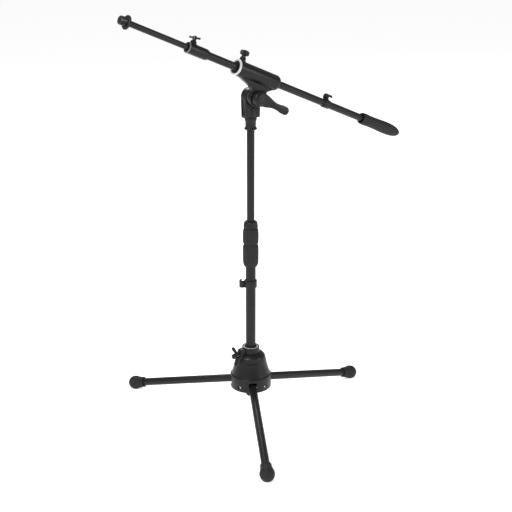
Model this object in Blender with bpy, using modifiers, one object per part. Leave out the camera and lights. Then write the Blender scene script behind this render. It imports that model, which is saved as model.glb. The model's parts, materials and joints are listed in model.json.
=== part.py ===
"""Boom microphone stand with a folding tripod base, in metres, +Z up.

The boom lies in the XZ plane of its clamp and its tip points to -X. The origin is
on the floor, under the middle of the whole stand. Each moving group hangs on an
empty that stands on its joint's axis.
"""

import math

import bmesh
import bpy
from mathutils import Matrix, Vector

# Clearances
GAP = 0.0003
SLIDE_GAP = 0.0003

# Legs and feet
LEG_AZIMUTHS = {"right": 0.0, "left": 120.0, "front": 240.0}
LEG_RADIUS = 0.0080
LEG_WALL = 0.0012
LEG_TAIL = 0.0110
PIVOT_HEIGHT = 0.0721
FOOT_REACH = 0.2750
FOOT_HEIGHT = 0.0140
FOOT_WALL = 0.0068
FOOT_COLLAR_WALL = 0.0030
FOOT_BACK = 0.0210
FOOT_FRONT = 0.0180
FOOT_SOLE = 0.0045
FOOT_NOSE = 0.0160
PIN_RADIUS = 0.0025
PIN_SINK = 0.0010
PLUG_LENGTH = 0.0220
EAR_THICKNESS = 0.0040
EAR_GAP = 0.0008

# Base casting, with its heights taken from the leg pivots
SKIRT_RADIUS = 0.0420
SKIRT_DEPTH = 0.0101
SKIRT_HEIGHT = 0.0280
SKIRT_STEP = 0.0022
DOME_INSET = 0.0108
DOME_HEIGHT = 0.0475
COLLAR_WALL = 0.0055
COLLAR_HEIGHT = 0.0125
CASTING_WALL = 0.0035
BORE_WALL = 0.0030
BORE_RISE = 0.0060
COLLAR_RING_HEIGHT = 0.0030
COLLAR_RING_RIM = 0.0020
SLOT_ROOF = 0.0060
PIVOT_INSET = 0.0100
LUG_RADIUS = 0.0075
LUG_DROP = 0.0130
LUG_INSET = 0.0012
LUG_STEP = 0.0008
WING_SCREW_RADIUS = 0.0030
WING_HUB_RADIUS = 0.0055
WING_HUB_LENGTH = 0.0160
WING_SPAN = 0.0185
WING_TURN = 20.0
PLATE_INSET = 0.0085
PLATE_THICKNESS = 0.0030
POST_AZIMUTHS = (60.0, 180.0, 300.0)
POST_INSET = 0.0110
POST_RADIUS = 0.0040
POST_SCREW_RADIUS = 0.0014
POST_SCREW_LENGTH = 0.0110

# Pole, with the heights of its grip and clip taken from the top of the lower tube
UPPER_RADIUS = 0.0076
UPPER_WALL = 0.0012
UPPER_INSERT = 0.0340
GUIDE_WALL = 0.0008
GUIDE_LENGTH = 0.0150
LOWER_WALL = 0.0012
LOWER_DROP = 0.0190
LOWER_TOP = 0.3520
BUSH_WALL = 0.0016
GRIP_OVERLAP = 0.0280
GRIP_RISE = 0.0520
GRIP_WALL = 0.0057
GRIP_WAIST_DEPTH = 0.0015
GRIP_COLLAR_HEIGHT = 0.0145
INSERT_WALL = 0.0011
COLLET_WALL = 0.0024
CLIP_DROP = 0.0370
CLIP_LENGTH = 0.0150
CLIP_WALL = 0.0022
CABLE_RADIUS = 0.0042
CLIP_AZIMUTH = 144.0
CLIP_MOUTH = 35.0

# Clutch head, with its heights taken from the hinge
HINGE_HEIGHT = 0.6650
BLOCK_RISE = 0.0400
BLOCK_RADIUS = 0.0175
BLOCK_FOOT = 0.0330
BLOCK_CHEEK = 0.00075
NECK_HEIGHT = 0.0232
SOCKET_WALL = 0.0030
SOCKET_DEPTH = 0.0150
BOLT_RADIUS = 0.0040
WASHER_THICKNESS = 0.0012
WASHER_RADIUS = 0.0150
DISC_THICKNESS = 0.01245
SPRING_WASHER_THICKNESS = 0.0010
LEVER_ANGLE = 28.0
LEVER_FLARE = 8.0
LEVER_LENGTH = 0.0660
LEVER_THICKNESS = 0.0064
LEVER_TIP_RADIUS = 0.0082
LEVER_HUB_RADIUS = 0.0155
LEVER_HUB_LENGTH = 0.0131
LEVER_CAP_INSET = 0.0050
LEVER_CAP_THICKNESS = 0.0014
NUT_RADIUS = 0.0075
NUT_LENGTH = 0.0060

# Boom clamp, with stations along the boom measured from the foot of the clutch axis
BOOM_ELEVATION = 22.6
BOOM_RISE = 0.0390
CLAMP_WALL = 0.0045
CLAMP_LOW = -0.0367
CLAMP_HIGH = 0.0634
CLAMP_BUSH_WALL = 0.0027
CLAMP_RING_THICKNESS = 0.0030
CLAMP_RING_LIP = 0.0008
WEB_THICKNESS = 0.0120
KNOB_INSET = 0.0069
KNOB_BOSS_RADIUS = 0.0060
KNOB_BOSS_RISE = 0.0070
KNOB_RADIUS = 0.0088
KNOB_HEIGHT = 0.0100
KNOB_NECK_RADIUS = 0.0040
KNOB_NECK_HEIGHT = 0.0030
KNOB_SCREW_RADIUS = 0.0022

# Boom
INNER_RADIUS = 0.0054
INNER_WALL = 0.0010
INNER_INSERT = 0.1050
INNER_TIP = 0.3135
BOOM_WALL = 0.0012
BOOM_END = 0.1650
BOOM_TAIL = -0.3800
SLEEVE_WALL = 0.0027
SLEEVE_BUSH_WALL = 0.0015
SLEEVE_OVERLAP = 0.0325
SLEEVE_REACH = 0.0135
SLEEVE_RING_THICKNESS = 0.0018
SLEEVE_BUSH_LENGTH = 0.0120
T_INSET = 0.0078
T_RISE = 0.0103
T_BOSS_DROP = 0.0055
T_THREAD_STEP = 0.0005
T_BAR_LENGTH = 0.0277
T_BAR_RADIUS = 0.0020
T_BAR_TURN = 78.6
T_STEM_RADIUS = 0.0037
BOOM_CLIP_STATION = -0.1710
BOOM_CLIP_WALL = 0.0014
END_GRIP_OVERLAP = 0.1050
END_GRIP_OVERHANG = 0.0135
END_GRIP_TIP_RADIUS = 0.0040
GRIP_MOUTH_WALL = 0.0041
GRIP_BELLY_WALL = 0.0055
GRIP_HOLLOW_WALL = 0.0022
STUD_RADIUS = 0.00795
STUD_LENGTH = 0.0172
STUD_OVERLAP = 0.0060
LOCK_NUT_SETBACK = 0.0168
LOCK_NUT_THICKNESS = 0.0052
LOCK_NUT_RIM = 0.0049

# Mesh fineness
CASTING_ROUND = 30
ROUND = 20
SMALL_ROUND = 12

# Base casting
BASE_LOW = PIVOT_HEIGHT - SKIRT_DEPTH
SKIRT_TOP = BASE_LOW + SKIRT_HEIGHT
SHOULDER_HEIGHT = SKIRT_TOP + DOME_HEIGHT
COLLAR_TOP = SHOULDER_HEIGHT + COLLAR_HEIGHT
BORE_LOW = SKIRT_TOP + BORE_RISE
SLOT_TOP = SKIRT_TOP - SLOT_ROOF
LUG_HEIGHT = COLLAR_TOP - LUG_DROP
DOME_RADIUS = SKIRT_RADIUS - DOME_INSET
LUG_REACH = DOME_RADIUS - LUG_INSET
PIVOT_REACH = SKIRT_RADIUS - PIVOT_INSET
PLATE_RADIUS = PIVOT_REACH - PLATE_INSET
POST_REACH = SKIRT_RADIUS - POST_INSET

# Legs
FOOT_RADIUS = LEG_RADIUS + FOOT_WALL
LEG_SLOPE = math.atan2(PIVOT_HEIGHT - FOOT_HEIGHT, FOOT_REACH - PIVOT_REACH)
LEG_RUN = math.hypot(PIVOT_HEIGHT - FOOT_HEIGHT, FOOT_REACH - PIVOT_REACH)
PIN_HALF = math.sqrt(SKIRT_RADIUS**2 - PIVOT_REACH**2) - PIN_SINK
PLATE_UNDER_LEG = PIVOT_REACH - PLATE_RADIUS - LEG_RADIUS * math.sin(LEG_SLOPE)
PLATE_TOP = (
    PIVOT_HEIGHT
    + PLATE_UNDER_LEG * math.tan(LEG_SLOPE)
    - LEG_RADIUS * math.cos(LEG_SLOPE)
    - GAP
)

# Pole
LOWER_RADIUS = UPPER_RADIUS + 2 * GAP + GUIDE_WALL + LOWER_WALL
LOWER_END = BASE_LOW - LOWER_DROP
UPPER_END = LOWER_TOP - UPPER_INSERT
BUSH_RADIUS = LOWER_RADIUS + SLIDE_GAP + BUSH_WALL
BORE_RADIUS = BUSH_RADIUS + GAP
COLLAR_RADIUS = BORE_RADIUS + COLLAR_WALL
COLLAR_RECESS = COLLAR_RADIUS - COLLAR_RING_RIM
GRIP_LOW = LOWER_TOP - GRIP_OVERLAP
GRIP_TOP = LOWER_TOP + GRIP_RISE
GRIP_RADIUS = LOWER_RADIUS + GRIP_WALL
GRIP_WAIST = GRIP_RADIUS - GRIP_WAIST_DEPTH
CLIP_HEIGHT = GRIP_LOW - CLIP_DROP

# Clutch head
BLOCK_LOW = HINGE_HEIGHT - BLOCK_RISE
BLOCK_THICKNESS = 2 * (UPPER_RADIUS + GAP + BLOCK_CHEEK)
UPPER_TOP = BLOCK_LOW + SOCKET_DEPTH
NECK_LOW = BLOCK_LOW - NECK_HEIGHT
SOCKET_RADIUS = UPPER_RADIUS + GAP + SOCKET_WALL
DISC_FACE = BLOCK_THICKNESS / 2 + 2 * GAP + WASHER_THICKNESS
BOOM_OFFSET = DISC_FACE + DISC_THICKNESS / 2
LEVER_FACE = DISC_FACE + DISC_THICKNESS + 2 * GAP + SPRING_WASHER_THICKNESS

# Boom
BOOM_RADIUS = INNER_RADIUS + 2 * SLIDE_GAP + BOOM_WALL
CLAMP_BORE = BOOM_RADIUS + SLIDE_GAP + CLAMP_BUSH_WALL + GAP
CLAMP_RADIUS = CLAMP_BORE + CLAMP_WALL
KNOB_STATION = CLAMP_HIGH - KNOB_INSET
KNOB_BOSS_HEIGHT = CLAMP_RADIUS + KNOB_BOSS_RISE
INNER_END = BOOM_END - INNER_INSERT
SLEEVE_TAIL = BOOM_END - SLEEVE_OVERLAP
SLEEVE_HEAD = BOOM_END + SLEEVE_REACH
SLEEVE_RADIUS = BOOM_RADIUS + GAP + SLEEVE_WALL
SLEEVE_BORE = SLEEVE_RADIUS - SLEEVE_BUSH_WALL - GAP
T_STATION = SLEEVE_HEAD - T_INSET
T_HEIGHT = SLEEVE_RADIUS + T_RISE
BOSS_TOP = T_HEIGHT - T_BOSS_DROP
GRIP_MOUTH = BOOM_TAIL + END_GRIP_OVERLAP
GRIP_END = BOOM_TAIL - END_GRIP_OVERHANG
STUD_SHOULDER = INNER_TIP - STUD_OVERLAP
STUD_TIP = STUD_SHOULDER + STUD_LENGTH
LOCK_NUT_STATION = STUD_TIP - LOCK_NUT_SETBACK
LOCK_NUT_RADIUS = STUD_RADIUS + LOCK_NUT_RIM

# Place of the pole, from the two ends of the boom
ELEVATION = math.radians(BOOM_ELEVATION)
BOOM_LEAN = BOOM_RISE * math.sin(ELEVATION)
BOOM_TIP_X = (
    BOOM_LEAN - STUD_TIP * math.cos(ELEVATION) - STUD_RADIUS * math.sin(ELEVATION)
)
BOOM_TAIL_X = BOOM_LEAN - GRIP_END * math.cos(ELEVATION)
POLE_X = -(BOOM_TIP_X + BOOM_TAIL_X) / 2


def clear_scene():
    """Remove every object of the startup scene."""
    for obj in list(bpy.data.objects):
        bpy.data.objects.remove(obj, do_unlink=True)


def new_collection(name):
    """A collection of this name, linked to the scene."""
    made = bpy.data.collections.new(name)
    bpy.context.scene.collection.children.link(made)
    return made


def make_material(name, colour, roughness, metallic=0.0):
    """A Principled material of one colour, roughness and metallic value."""
    made = bpy.data.materials.new(name)
    made.use_nodes = True
    shader = made.node_tree.nodes["Principled BSDF"]
    shader.inputs["Base Color"].default_value = (*colour, 1.0)
    shader.inputs["Roughness"].default_value = roughness
    shader.inputs["Metallic"].default_value = metallic
    return made


clear_scene()
PARTS = new_collection("boom_microphone_stand")
CUTTERS = new_collection("cutters")
POWDER_COAT = make_material("black_powder_coat", (0.022, 0.021, 0.022), 0.42, 0.3)
CAST_BLACK = make_material("black_casting", (0.018, 0.018, 0.019), 0.38, 0.2)
RUBBER = make_material("black_rubber", (0.030, 0.030, 0.031), 0.75)
PLASTIC = make_material("black_plastic", (0.022, 0.022, 0.023), 0.48)
PALE_PLASTIC = make_material("pale_plastic", (0.62, 0.62, 0.64), 0.40)
STEEL = make_material("zinc_steel", (0.55, 0.55, 0.56), 0.32, 1.0)
FIBRE = make_material("friction_fibre", (0.10, 0.09, 0.08), 0.85)


def add_object(name, mesh, finish=None):
    """An object of this mesh among the parts."""
    made = bpy.data.objects.new(name, mesh)
    PARTS.objects.link(made)
    if finish is not None:
        mesh.materials.append(finish)
    return made


def add_empty(name, parent=None, location=(0, 0, 0), rotation=(0, 0, 0)):
    """An empty that holds a group on its joint's axis."""
    made = bpy.data.objects.new(name, None)
    PARTS.objects.link(made)
    made.empty_display_size = 0.02
    return place(made, parent, location, rotation)


def place(obj, parent, location=(0, 0, 0), rotation=(0, 0, 0)):
    """Hang an object on its parent at this place, with angles in degrees."""
    obj.parent = parent
    obj.location = location
    obj.rotation_euler = [math.radians(angle) for angle in rotation]
    return obj


def helper(obj):
    """Move an object to the cutters: it is no part, only a tool for a Boolean."""
    PARTS.objects.unlink(obj)
    CUTTERS.objects.link(obj)
    obj.hide_render = True
    obj.display_type = "WIRE"
    return obj


def boolean(obj, tool, operation):
    """Leave a Boolean with this tool on the object."""
    modifier = obj.modifiers.new(f"{operation.lower()}_{tool.name}", "BOOLEAN")
    modifier.operation = operation
    modifier.object = helper(tool)
    return obj


def turned(name, profile, finish=None, closed=True, sides=ROUND):
    """A shape turned about Z from (radius, height) points, down the outer side."""
    mesh = bpy.data.meshes.new(name)
    points = [(radius, 0.0, height) for radius, height in profile]
    edges = [(at, at + 1) for at in range(len(points) - 1)]
    if closed:
        edges.append((len(points) - 1, 0))
    mesh.from_pydata(points, edges, [])
    obj = add_object(name, mesh, finish)
    screw = obj.modifiers.new("turn", "SCREW")
    screw.steps = sides
    screw.render_steps = sides
    screw.use_merge_vertices = True
    screw.merge_threshold = 0.00001
    return obj


def rod(name, radius, low, high, finish=None, sides=SMALL_ROUND):
    """A plain round bar along Z."""
    outline = [(0.0, high), (radius, high), (radius, low), (0.0, low)]
    return turned(name, outline, finish, closed=False, sides=sides)


def tube(name, outer, inner, low, high, finish=None, sides=ROUND):
    """A round tube along Z, open at both ends."""
    outline = [(inner, high), (outer, high), (outer, low), (inner, low)]
    return turned(name, outline, finish, sides=sides)


def plate(name, outlines, thickness, finish=None):
    """A flat shape in XY, of this thickness about Z, as a mesh. Inner outlines are holes."""
    curve = bpy.data.curves.new(name + "_outline", "CURVE")
    curve.dimensions = "2D"
    curve.fill_mode = "BOTH"
    curve.extrude = thickness / 2
    for outline in outlines:
        spline = curve.splines.new("POLY")
        spline.points.add(len(outline) - 1)
        for point, (across, along) in zip(spline.points, outline):
            point.co = (across, along, 0.0, 1.0)
        spline.use_cyclic_u = True
    guide = bpy.data.objects.new(name + "_outline", curve)
    bpy.context.scene.collection.objects.link(guide)
    graph = bpy.context.evaluated_depsgraph_get()
    mesh = bpy.data.meshes.new_from_object(guide.evaluated_get(graph))
    bpy.data.objects.remove(guide)
    bpy.data.curves.remove(curve)
    mesh.name = name
    shape = bmesh.new()
    shape.from_mesh(mesh)
    bmesh.ops.remove_doubles(shape, verts=shape.verts, dist=0.000001)
    bmesh.ops.recalc_face_normals(shape, faces=shape.faces)
    shape.to_mesh(mesh)
    shape.free()
    return add_object(name, mesh, finish)


def blocks(name, boxes, rods):
    """One mesh of separate boxes (matrix, size) and rods (matrix, radius, length)."""
    shape = bmesh.new()
    for matrix, size in boxes:
        bmesh.ops.create_cube(shape, matrix=matrix @ Matrix.Diagonal((*size, 1.0)))
    for matrix, radius, length in rods:
        bmesh.ops.create_cone(
            shape,
            cap_ends=True,
            segments=SMALL_ROUND,
            radius1=radius,
            radius2=radius,
            depth=length,
            matrix=matrix,
        )
    mesh = bpy.data.meshes.new(name)
    shape.to_mesh(mesh)
    shape.free()
    return add_object(name, mesh)


def arc(centre, radius, start, end, steps):
    """Points on an arc from start to end, in degrees."""
    turns = [start + (end - start) * step / steps for step in range(steps + 1)]
    return [
        (
            centre[0] + radius * math.cos(math.radians(turn)),
            centre[1] + radius * math.sin(math.radians(turn)),
        )
        for turn in turns
    ]


def polar(azimuth, reach, height):
    """A matrix at this reach from the pole, turned so that X points outwards."""
    turn = Matrix.Rotation(math.radians(azimuth), 4, "Z")
    return turn @ Matrix.Translation((reach, 0.0, height))


def lying_on_y():
    """A matrix that lays a rod along Y."""
    return Matrix.Rotation(math.radians(90.0), 4, "X")


def casting_profile():
    """The section of the bell: down the outside, and up the inside."""
    inner_skirt = SKIRT_RADIUS - CASTING_WALL
    roof = SHOULDER_HEIGHT - 0.0095
    recess = COLLAR_TOP - COLLAR_RING_HEIGHT - GAP
    sleeve = BORE_RADIUS + BORE_WALL
    return [
        (COLLAR_RECESS, COLLAR_TOP),
        (COLLAR_RADIUS, COLLAR_TOP),
        (COLLAR_RADIUS, SHOULDER_HEIGHT),
        (DOME_RADIUS - 0.0070, SHOULDER_HEIGHT - 0.0020),
        (DOME_RADIUS - 0.0025, SHOULDER_HEIGHT - 0.0070),
        (DOME_RADIUS, SHOULDER_HEIGHT - 0.0145),
        (DOME_RADIUS + 0.0021, SHOULDER_HEIGHT - 0.0255),
        (SKIRT_RADIUS - 2.2 * SKIRT_STEP, SKIRT_TOP + 0.0085),
        (SKIRT_RADIUS - SKIRT_STEP, SKIRT_TOP + 0.0015),
        (SKIRT_RADIUS, SKIRT_TOP),
        (SKIRT_RADIUS, BASE_LOW),
        (inner_skirt, BASE_LOW),
        (inner_skirt, SKIRT_TOP - 0.0020),
        (DOME_RADIUS + 0.0010, SKIRT_TOP + 0.0100),
        (DOME_RADIUS - 0.0025, SHOULDER_HEIGHT - 0.0220),
        (DOME_RADIUS - 0.0060, roof - 0.0040),
        (sleeve, roof),
        (sleeve, BORE_LOW),
        (BORE_RADIUS, BORE_LOW),
        (BORE_RADIUS, recess),
        (COLLAR_RECESS, recess),
    ]


def casting_ribs():
    """The hinge ears, the screw posts and the lug that are cast with the bell."""
    ear_low = PLATE_TOP
    ear_high = SKIRT_TOP - 0.0010
    ear_in = PLATE_RADIUS + 0.0010
    ear_out = SKIRT_RADIUS - CASTING_WALL / 2
    ear_side = LEG_RADIUS + EAR_GAP + EAR_THICKNESS / 2
    ear_size = (ear_out - ear_in, EAR_THICKNESS, ear_high - ear_low)
    boxes = []
    rods = []
    for azimuth in LEG_AZIMUTHS.values():
        middle = polar(azimuth, (ear_in + ear_out) / 2, (ear_low + ear_high) / 2)
        for side in (-ear_side, ear_side):
            boxes.append((middle @ Matrix.Translation((0, side, 0)), ear_size))
    post_low = PLATE_TOP + GAP
    for azimuth in POST_AZIMUTHS:
        post = polar(azimuth, POST_REACH, (post_low + BORE_LOW) / 2)
        rods.append((post, POST_RADIUS, BORE_LOW - post_low))
    lug_in = COLLAR_RECESS + 0.0005
    lug_low = LUG_HEIGHT - LUG_RADIUS
    lug_high = COLLAR_TOP - LUG_STEP
    lug = Matrix.Translation((-(lug_in + LUG_REACH) / 2, 0, (lug_low + lug_high) / 2))
    boxes.append((lug, (LUG_REACH - lug_in, 2 * LUG_RADIUS, lug_high - lug_low)))
    return blocks("casting_ribs", boxes, rods)


def casting_slots():
    """The three slots that the legs swing in, open at the bottom."""
    width = 2 * (LEG_RADIUS + EAR_GAP - GAP)
    low = BASE_LOW - 0.0100
    length = SKIRT_RADIUS - PIVOT_REACH + 0.0120
    boxes = [
        (
            polar(azimuth, PIVOT_REACH + length / 2, (low + SLOT_TOP) / 2),
            (length, width, SLOT_TOP - low),
        )
        for azimuth in LEG_AZIMUTHS.values()
    ]
    return blocks("casting_slots", boxes, [])


def casting_bores():
    """The pin bores, the post holes and the hole of the wing screw."""
    rods = []
    for azimuth in LEG_AZIMUTHS.values():
        pin = polar(azimuth, PIVOT_REACH, PIVOT_HEIGHT) @ lying_on_y()
        rods.append((pin, PIN_RADIUS + GAP, 2.2 * SKIRT_RADIUS))
    for azimuth in POST_AZIMUTHS:
        post = polar(azimuth, POST_REACH, PLATE_TOP)
        rods.append((post, POST_SCREW_RADIUS + GAP, 2 * POST_SCREW_LENGTH))
    hole_in = BORE_RADIUS - BORE_WALL
    hole_out = LUG_REACH + BORE_WALL
    screw = Matrix.Translation((-(hole_in + hole_out) / 2, 0, LUG_HEIGHT))
    lying = Matrix.Rotation(math.radians(90.0), 4, "Y")
    rods.append((screw @ lying, WING_SCREW_RADIUS + GAP, hole_out - hole_in))
    return blocks("casting_bores", [], rods)


def stop_plate_outline():
    """A disc with three arms, one to each post."""
    half = math.degrees(math.asin(POST_RADIUS / PLATE_RADIUS))
    points = []
    for azimuth in POST_AZIMUTHS:
        end = polar(azimuth, POST_REACH, 0.0).translation
        points += arc(end, POST_RADIUS, azimuth - 90, azimuth + 90, 6)
        points += arc((0, 0), PLATE_RADIUS, azimuth + half, azimuth + 120 - half, 6)
    return points


def build_base(stand):
    """The bell casting with its ring, bush, wing screw and stop plate."""
    casting = turned("base_casting", casting_profile(), CAST_BLACK, sides=CASTING_ROUND)
    place(casting, stand)
    boolean(casting, place(casting_ribs(), stand), "UNION")
    boolean(casting, place(casting_slots(), stand), "DIFFERENCE")
    boolean(casting, place(casting_bores(), stand), "DIFFERENCE")

    ring_low = COLLAR_TOP - COLLAR_RING_HEIGHT
    ring = tube(
        "base_collar_ring",
        COLLAR_RECESS - GAP,
        LOWER_RADIUS + SLIDE_GAP,
        ring_low,
        COLLAR_TOP,
        PALE_PLASTIC,
    )
    place(ring, stand)
    bush = tube(
        "base_bush",
        BUSH_RADIUS,
        LOWER_RADIUS + SLIDE_GAP,
        BORE_LOW,
        ring_low - 2 * GAP,
        PLASTIC,
    )
    place(bush, stand)

    hole = LOWER_RADIUS + SLIDE_GAP
    stop = plate(
        "leg_stop_plate",
        [stop_plate_outline(), arc((0, 0), hole, 0, 345, 23)],
        PLATE_THICKNESS,
        STEEL,
    )
    place(stop, stand, (0, 0, PLATE_TOP - PLATE_THICKNESS / 2))
    matrices = [
        polar(azimuth, POST_REACH, PLATE_TOP - PLATE_THICKNESS / 2)
        for azimuth in POST_AZIMUTHS
    ]
    holes = blocks(
        "plate_holes",
        [],
        [(at, POST_SCREW_RADIUS + GAP, 0.0100) for at in matrices],
    )
    boolean(stop, place(holes, stand), "DIFFERENCE")
    for number, azimuth in enumerate(POST_AZIMUTHS, 1):
        build_plate_screw(stand, number, azimuth)
    build_wing_screw(stand)


def build_plate_screw(stand, number, azimuth):
    """One of the screws that hold the stop plate to its posts."""
    head_radius = POST_RADIUS - 0.0010
    low = PLATE_TOP - PLATE_THICKNESS - GAP
    outline = [
        (0.0, low + POST_SCREW_LENGTH),
        (POST_SCREW_RADIUS, low + POST_SCREW_LENGTH),
        (POST_SCREW_RADIUS, low),
        (head_radius, low),
        (head_radius, low - 0.0016),
        (0.0, low - 0.0016),
    ]
    screw = turned(f"plate_screw_{number}", outline, STEEL, closed=False, sides=12)
    at = polar(azimuth, POST_REACH, 0.0).translation
    place(screw, stand, at)


def build_wing_screw(stand):
    """The screw that clamps the pole in the base, and its moulded wings."""
    axis = add_empty("wing_screw_axis", stand, (0, 0, LUG_HEIGHT), (0.0, -90.0, 0.0))
    start = LUG_REACH + GAP
    shaft_end = start + WING_HUB_LENGTH - 0.0040
    shaft = rod(
        "wing_screw_shaft", WING_SCREW_RADIUS, BORE_RADIUS, shaft_end, STEEL
    )
    place(shaft, axis)
    top = start + WING_HUB_LENGTH
    outline = [
        (0.0, top),
        (WING_HUB_RADIUS - 0.0015, top),
        (WING_HUB_RADIUS, top - 0.0020),
        (WING_HUB_RADIUS, start),
        (WING_SCREW_RADIUS + GAP, start),
        (WING_SCREW_RADIUS + GAP, shaft_end + GAP),
        (0.0, shaft_end + GAP),
    ]
    wings = turned("wing_screw_head", outline, PLASTIC, closed=False, sides=SMALL_ROUND)
    place(wings, axis)
    root = WING_HUB_RADIUS - 0.0013
    for side in (-1, 1):
        wing = [
            (side * root, start + 0.0020),
            (side * WING_SPAN, top - 0.0065),
            (side * (WING_SPAN + 0.0010), top - 0.0035),
            (side * (WING_SPAN - 0.0015), top - 0.0010),
            (side * root, top - 0.0050),
        ]
        blade = plate(f"wing_{side + 1}", [wing], 0.0036)
        place(blade, axis, (0, 0, 0), (90.0, 0.0, WING_TURN))
        boolean(wings, blade, "UNION")


def foot_profile():
    """The section of a rubber foot: a collar, a bulb and a round toe, round a bore."""
    bore = LEG_RADIUS + GAP
    back = LEG_RUN - FOOT_BACK
    toe = LEG_RUN + FOOT_FRONT
    middle = LEG_RUN + FOOT_FRONT - FOOT_NOSE
    bulb = [
        (across * FOOT_RADIUS, middle + along * FOOT_NOSE)
        for across, along in arc((0, 0), 1.0, 72, -36, 6)
    ]
    return [
        (0.0, toe),
        *bulb,
        (LEG_RADIUS + FOOT_COLLAR_WALL, back + 0.0070),
        (LEG_RADIUS + FOOT_COLLAR_WALL, back),
        (bore, back),
        (bore, LEG_RUN + FOOT_SOLE),
        (0.0, LEG_RUN + FOOT_SOLE),
    ]


def build_leg(stand, side, azimuth, floor):
    """One leg on its pin: a tube with a foot outside and a plug inside."""
    turn = Matrix.Rotation(math.radians(azimuth), 4, "Z")
    at = turn @ Vector((PIVOT_REACH, 0.0, PIVOT_HEIGHT))
    swing = 90.0 + math.degrees(LEG_SLOPE)
    axis = add_empty(f"leg_{side}_axis", stand, at, (0.0, swing, azimuth))
    inner = LEG_RADIUS - LEG_WALL
    leg = tube(
        f"leg_{side}_tube",
        LEG_RADIUS,
        inner,
        -LEG_TAIL,
        LEG_RUN + FOOT_SOLE - GAP,
        POWDER_COAT,
    )
    place(leg, axis)
    plug = rod(
        f"leg_{side}_plug", inner - GAP, -LEG_TAIL, PLUG_LENGTH - LEG_TAIL, PLASTIC
    )
    place(plug, axis)
    for piece in (leg, plug):
        across = 1.5 * LEG_RADIUS
        hole = rod(f"{piece.name}_hole", PIN_RADIUS + GAP, -across, across)
        boolean(piece, place(hole, axis, (0, 0, 0), (90.0, 0.0, 0.0)), "DIFFERENCE")
    pin = rod(f"leg_{side}_pin", PIN_RADIUS, -PIN_HALF, PIN_HALF, STEEL)
    place(pin, stand, at, (90.0, 0.0, azimuth))
    foot = turned(f"leg_{side}_foot", foot_profile(), RUBBER, closed=False)
    place(foot, axis)
    cut = foot.modifiers.new("sole", "BOOLEAN")
    cut.object = floor


def build_legs(stand):
    """The three legs, with their soles cut to the floor."""
    reach = FOOT_REACH + FOOT_FRONT + 0.0500
    depth = 0.0500
    floor = blocks(
        "floor",
        [(Matrix.Translation((0, 0, -depth / 2)), (2 * reach, 2 * reach, depth))],
        [],
    )
    helper(place(floor, stand))
    for side, azimuth in LEG_AZIMUTHS.items():
        build_leg(stand, side, azimuth, floor)


def clip_outline(ring):
    """A ring outline that ends in a hook, open at one side, round a cable channel."""
    hook_at = ring + CABLE_RADIUS
    hook = CABLE_RADIUS + CLIP_WALL
    join_x = (hook_at**2 + ring**2 - hook**2) / (2 * hook_at)
    join_y = math.sqrt(ring**2 - join_x**2)
    on_ring = math.degrees(math.atan2(join_y, join_x))
    on_hook = math.degrees(math.atan2(-join_y, join_x - hook_at))
    return [
        *arc((0, 0), ring, 360, on_ring, 20),
        *arc((hook_at, 0), hook, -on_hook, -CLIP_MOUTH, 10)[1:],
        *arc((hook_at, 0), CABLE_RADIUS, -CLIP_MOUTH, 165, 12),
    ]


def cable_clip(name, radius, wall, parent, location, rotation):
    """A spring clip round a tube along Z, with an open cable hook on its +X side."""
    hole = radius + SLIDE_GAP
    outlines = [clip_outline(hole + wall), arc((0, 0), hole, 0, 345, 23)]
    clip = plate(name, outlines, CLIP_LENGTH, PLASTIC)
    return place(clip, parent, location, rotation)


def build_lower_pole(stand):
    """The lower tube with its end plug and cable clip."""
    inner = LOWER_RADIUS - LOWER_WALL
    lower = tube(
        "pole_lower_tube", LOWER_RADIUS, inner, LOWER_END, LOWER_TOP, POWDER_COAT
    )
    place(lower, stand)
    plug = [
        (0.0, LOWER_END + 0.0120),
        (inner - GAP, LOWER_END + 0.0120),
        (inner - GAP, LOWER_END - GAP),
        (LOWER_RADIUS, LOWER_END - GAP),
        (LOWER_RADIUS - 0.0012, LOWER_END - 0.0035),
        (0.0, LOWER_END - 0.0035),
    ]
    place(turned("pole_end_plug", plug, PLASTIC, closed=False), stand)
    cable_clip(
        "pole_cable_clip",
        LOWER_RADIUS,
        CLIP_WALL,
        stand,
        (0, 0, CLIP_HEIGHT),
        (0.0, 0.0, CLIP_AZIMUTH),
    )


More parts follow.
